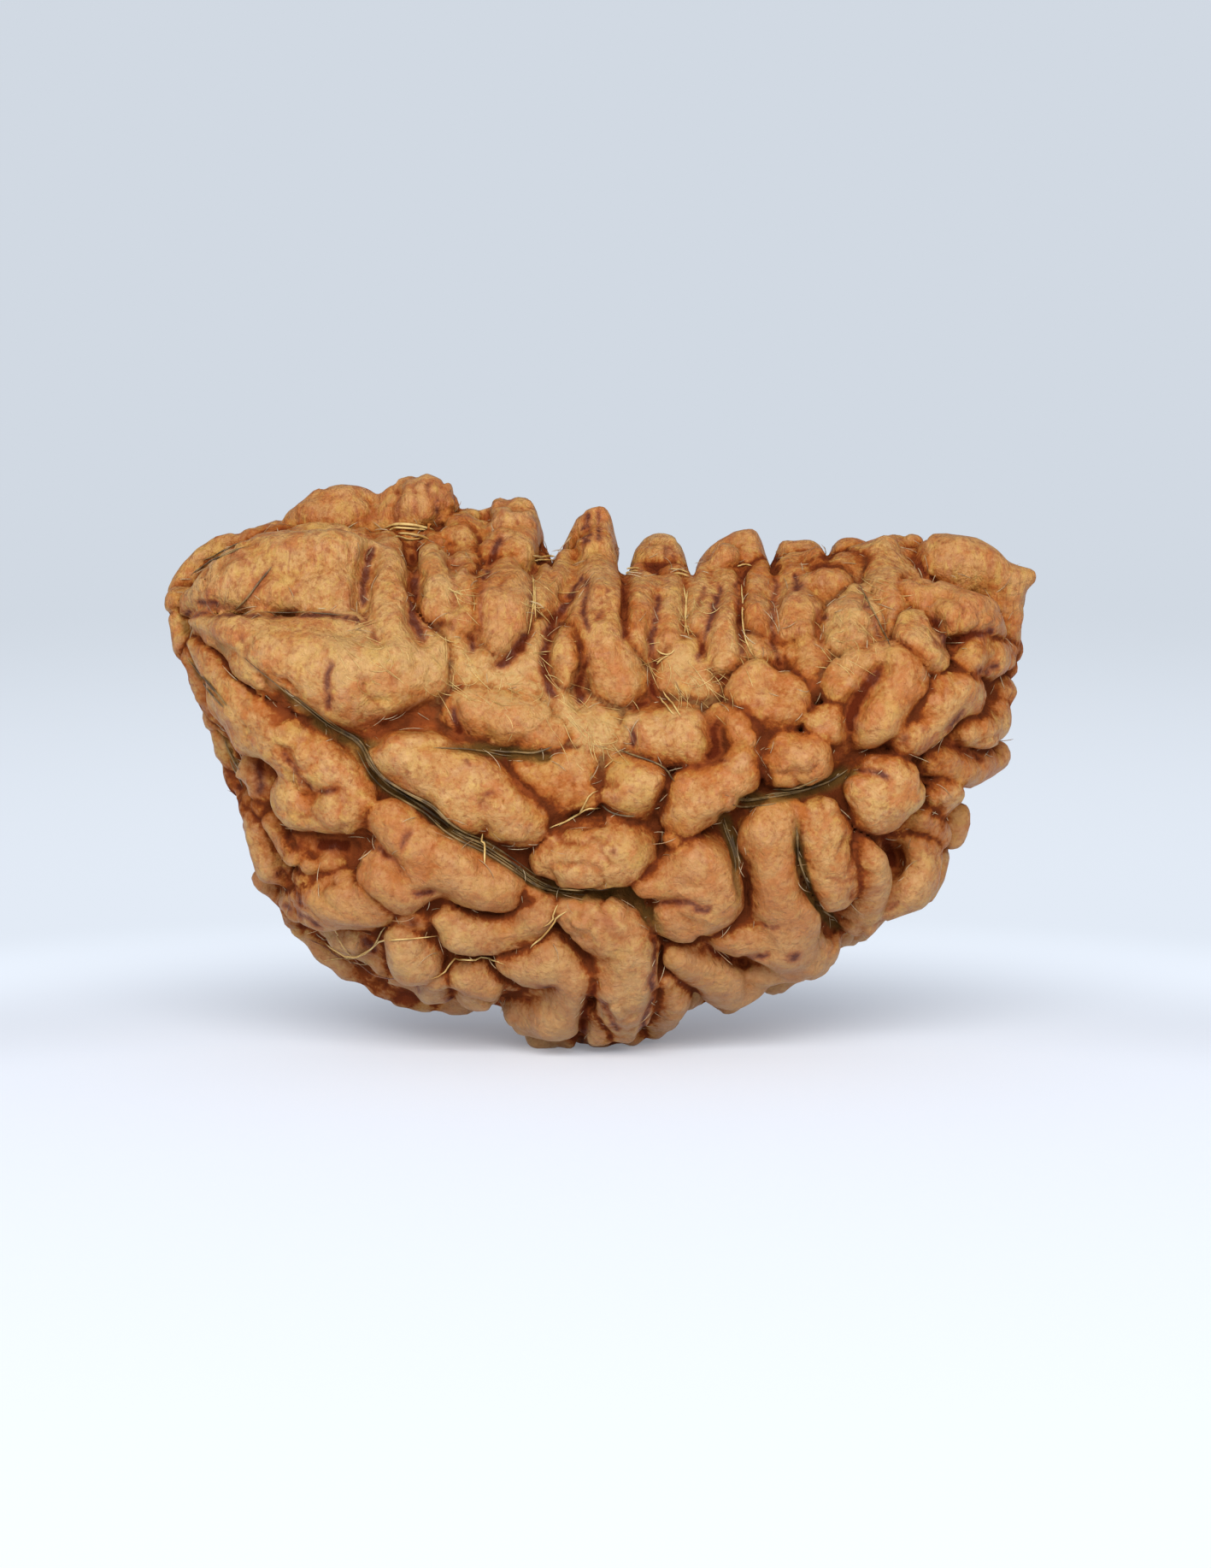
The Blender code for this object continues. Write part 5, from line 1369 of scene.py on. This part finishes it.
# pale and dark paint, size in mm of the patches they change in
fibrePaints = {
    "straw_fibre": (paint(208, 178, 112), paint(168, 126, 62), .6),
    "olive_fibre": (paint(132, 104, 60), paint(78, 58, 34), .5),
    "rust_fibre": (paint(146, 90, 52), paint(98, 50, 30), .5),
    "pale_hair": (paint(194, 172, 136), paint(150, 112, 72), .8),
}
fibreSkin = {
    "patches": (4, .6), "change": (.38, .62),
    "grain": .05, "grainDetail": 2, "bump": .4, "bumpHeight": .01,
    "roughness": .55,
}


def fibreFinish(name):
    pale, dark, size = fibrePaints[name]
    material = bpy.data.materials.new(name)
    tree, shader = nodesOf(material)
    m = Maker(tree)
    here = m.here()
    share = m.ramp(m.noise(here, size, *fibreSkin["patches"]), *fibreSkin["change"])
    tree.links.new(m.blend(share, pale, dark), shader.inputs["Base Color"])
    shader.inputs["Roughness"].default_value = fibreSkin["roughness"]
    relief = m.noise(here, fibreSkin["grain"], fibreSkin["grainDetail"])
    bump = m.add("ShaderNodeBump", {"Strength": fibreSkin["bump"], "Height": relief,
                                    "Distance": fibreSkin["bumpHeight"] * mm})
    tree.links.new(bump.outputs[0], shader.inputs["Normal"])
    return material


def addFibres(name, paths, radii, finish, sides=fibres["sides"]):
    piece = tubes(name, paths, radii, sides)
    piece.data.materials.append(finish)
    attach(piece, "root")
    print(name, "threads:", len(paths))


rng = np.random.default_rng(fibres["seed"])
links = fibres["links"]
straw, olive, rust, pale = [fibreFinish(name) for name in fibrePaints]


def laidFrom(table):
    paths = [laid(points, radius, bow, links) for radius, bow, *points in table]
    return paths, [row[0] for row in table]


# strands along the grooves, side by side
paths, radii = [], []
for strands, width, depth, *points in grooves:
    line = evenly(points, fibres["grooveStep"])
    side = np.gradient(line, axis=0)[:, ::-1] * (1, -1)
    side /= np.linalg.norm(side, axis=1)[:, None] + 1e-9
    for turn in range(strands):
        length = int(rng.uniform(*fibres["grooveLength"]) * len(line)) + fibres["grooveLeast"]
        start = rng.integers(0, max(1, len(line) - length))
        part = slice(start, start + length)
        reach = rng.uniform(*fibres["grooveSpread"]) * width
        waves = np.linspace(0, rng.uniform(*fibres["grooveWaves"]), len(line[part]))
        drawn = line[part] + side[part] * (reach + fibres["grooveWave"] * width * np.sin(waves))[:, None]
        radius = rng.uniform(*fibres["grooveRadius"])
        paths.append(laid(drawn, radius, rng.uniform(*fibres["grooveBow"]), 3 * links))
        radii.append(radius)
addFibres("groove_strands", paths, radii, olive)
addFibres("olive_threads", *laidFrom(oliveThreads), olive)
addFibres("rust_threads", *laidFrom(rustThreads), rust)

# threads given one by one, then short ones scattered over the web
paths, radii = laidFrom(strawThreads)
for turn in range(fibres["inWeb"]):
    x, z, size, strength = webbing[rng.integers(len(webbing))]
    x, z = rng.normal((x, z), fibres["webSpread"] * size)
    heading = rng.normal(*fibres["webHeading"])
    reach = rng.uniform(*fibres["webLength"]) / fibres["webLinks"]
    bend = rng.normal(0, .5)
    drawn = [(x, z)]
    for link in range(fibres["webLinks"]):
        drawn.append((drawn[-1][0] + reach * math.cos(heading), drawn[-1][1] + reach * math.sin(heading)))
        heading += bend * fibres["webBend"]
    radius = rng.uniform(*fibres["webRadius"])
    paths.append(laid(drawn, radius, rng.uniform(*fibres["webBow"]), links))
    radii.append(radius)
addFibres("straw_threads", paths, radii, straw)

# short hairs left in the crevices all round
inCrevice = (skinMasks["deep"] > fibres["hairsBelow"]) & (skinPoints[:, 2] > fibres["hairsFrom"])
roots = skinPoints[rng.permutation(np.flatnonzero(inCrevice))][:fibres["hairs"]]
normal = outwardAt(roots)
heading = np.cross(normal, rng.normal(size=normal.shape))
heading /= np.linalg.norm(heading, axis=1)[:, None] + 1e-9
turnTo = np.cross(normal, heading)
length = rng.uniform(*fibres["hairLength"], len(roots))[:, None]
bend = rng.normal(0, fibres["hairBend"], len(roots))[:, None]
rise = rng.uniform(*fibres["hairRise"], len(roots))[:, None]
hairs = []
for t in np.linspace(0, 1, fibres["hairLinks"]):
    upward = rise * t * (1.1 - .8 * t)          # it leans over towards its tip
    reach = length * (t * heading + t * t * bend * turnTo + upward * normal)
    hairs.append(roots + reach + fibres["hairRoot"] * normal)
radii = rng.uniform(*fibres["hairRadius"], len(roots))
addFibres("fine_hairs", np.stack(hairs, 1), radii, pale, fibres["hairSides"])

# floor: lit where the seed stands, and glowing like the tent's wall further out, a painted glow that stands
# in for the lit tent; a faint glow over all of it lightens its shadows
tent = {
    "radius": 4, "sides": 96,
    "sheet": paint(221, 227, 237),
    "through": .19,            # glow painted over the whole sheet, which lightens the shadows on it
    "wallLow": paint(227, 235, 246),   # colour of the painted glow where it starts, as though the sheet curved up there
    "wall": paint(209, 217, 227),
    "litRound": (0, -.07),     # middle of the part that the lamp lights
    "litNarrow": (1.5, 1, 1),
    "glowFrom": .07, "glowFull": .1,
    "wallFrom": .1, "wallFull": .255,
    "roughness": .9,
}


def makeFloor():
    mesh = bpy.data.meshes.new("tent_floor")
    turn = np.arange(tent["sides"]) / tent["sides"] * 2 * math.pi
    ring = np.stack([np.cos(turn), np.sin(turn), 0 * turn], 1) * tent["radius"]
    mesh.from_pydata(ring.tolist(), [], [list(range(tent["sides"]))])
    floor = put("tent_floor", mesh)
    material = bpy.data.materials.new("tent_sheet")
    tree, shader = nodesOf(material)
    m = Maker(tree)
    narrow = m.add("ShaderNodeVectorMath", {0: m.here(), 1: tent["litNarrow"]}, operation="MULTIPLY")
    values = {0: narrow.outputs[0], 1: (*tent["litRound"], 0)}
    far = m.add("ShaderNodeVectorMath", values, operation="DISTANCE").outputs["Value"]
    glow = m.ramp(far, tent["glowFrom"], tent["glowFull"])
    colour = m.blend(glow, tent["sheet"], (0, 0, 0, 1))
    tree.links.new(colour, shader.inputs["Base Color"])
    wall = m.blend(m.ramp(far, tent["wallFrom"], tent["wallFull"]), tent["wallLow"], tent["wall"])
    tree.links.new(wall, shader.inputs["Emission Color"])
    tree.links.new(m.ramp(glow, 0, 1, tent["through"], 1), shader.inputs["Emission Strength"])
    shader.inputs["Roughness"].default_value = tent["roughness"]
    shader.inputs["Specular IOR Level"].default_value = 0
    mesh.materials.append(material)


makeFloor()

# light: one big soft sheet above and in front, and the tent's own walls
lamps = {
    "aim": (0, 0, .008),
    "top": {"at": (0, -.48, .31), "size": (.6, .3), "power": 4.45, "colour": (1, .985, .96)},
    "upper": (.36, .37, .40),    # the tent above eye height
    "wallTop": .12, "upperFrom": .3,
}


def hangLamp(name, facts):
    light = bpy.data.lights.new(name, "AREA")
    light.shape = "RECTANGLE"
    light.size, light.size_y = facts["size"]
    light.energy = facts["power"]
    light.color = facts["colour"]
    lamp = put(name, light)
    lamp.location = facts["at"]
    toSeed = Vector(lamps["aim"]) - lamp.location
    lamp.rotation_euler = toSeed.to_track_quat("-Z", "Y").to_euler()


hangLamp("top", lamps["top"])

world = bpy.data.worlds.new("tent")
bpy.context.scene.world = world
world.use_nodes = True
m = Maker(world.node_tree)
upward = m.add("ShaderNodeSeparateXYZ", {0: m.here("Generated")}).outputs["Z"]
tone = m.blend(m.ramp(upward, lamps["wallTop"], lamps["upperFrom"]), tent["wall"], (*lamps["upper"], 1))
world.node_tree.links.new(tone, world.node_tree.nodes["Background"].inputs["Color"])

camera = bpy.data.cameras.new("camera")
camera.lens = view["lens"]
camera.clip_start, camera.clip_end = view["clip"]
stand = put("camera", camera)
stand.location = eye * mm
stand.rotation_euler = (math.pi / 2 - view["elevation"], 0, 0)
bpy.context.scene.camera = stand
bpy.context.scene.view_settings.view_transform = "Standard"
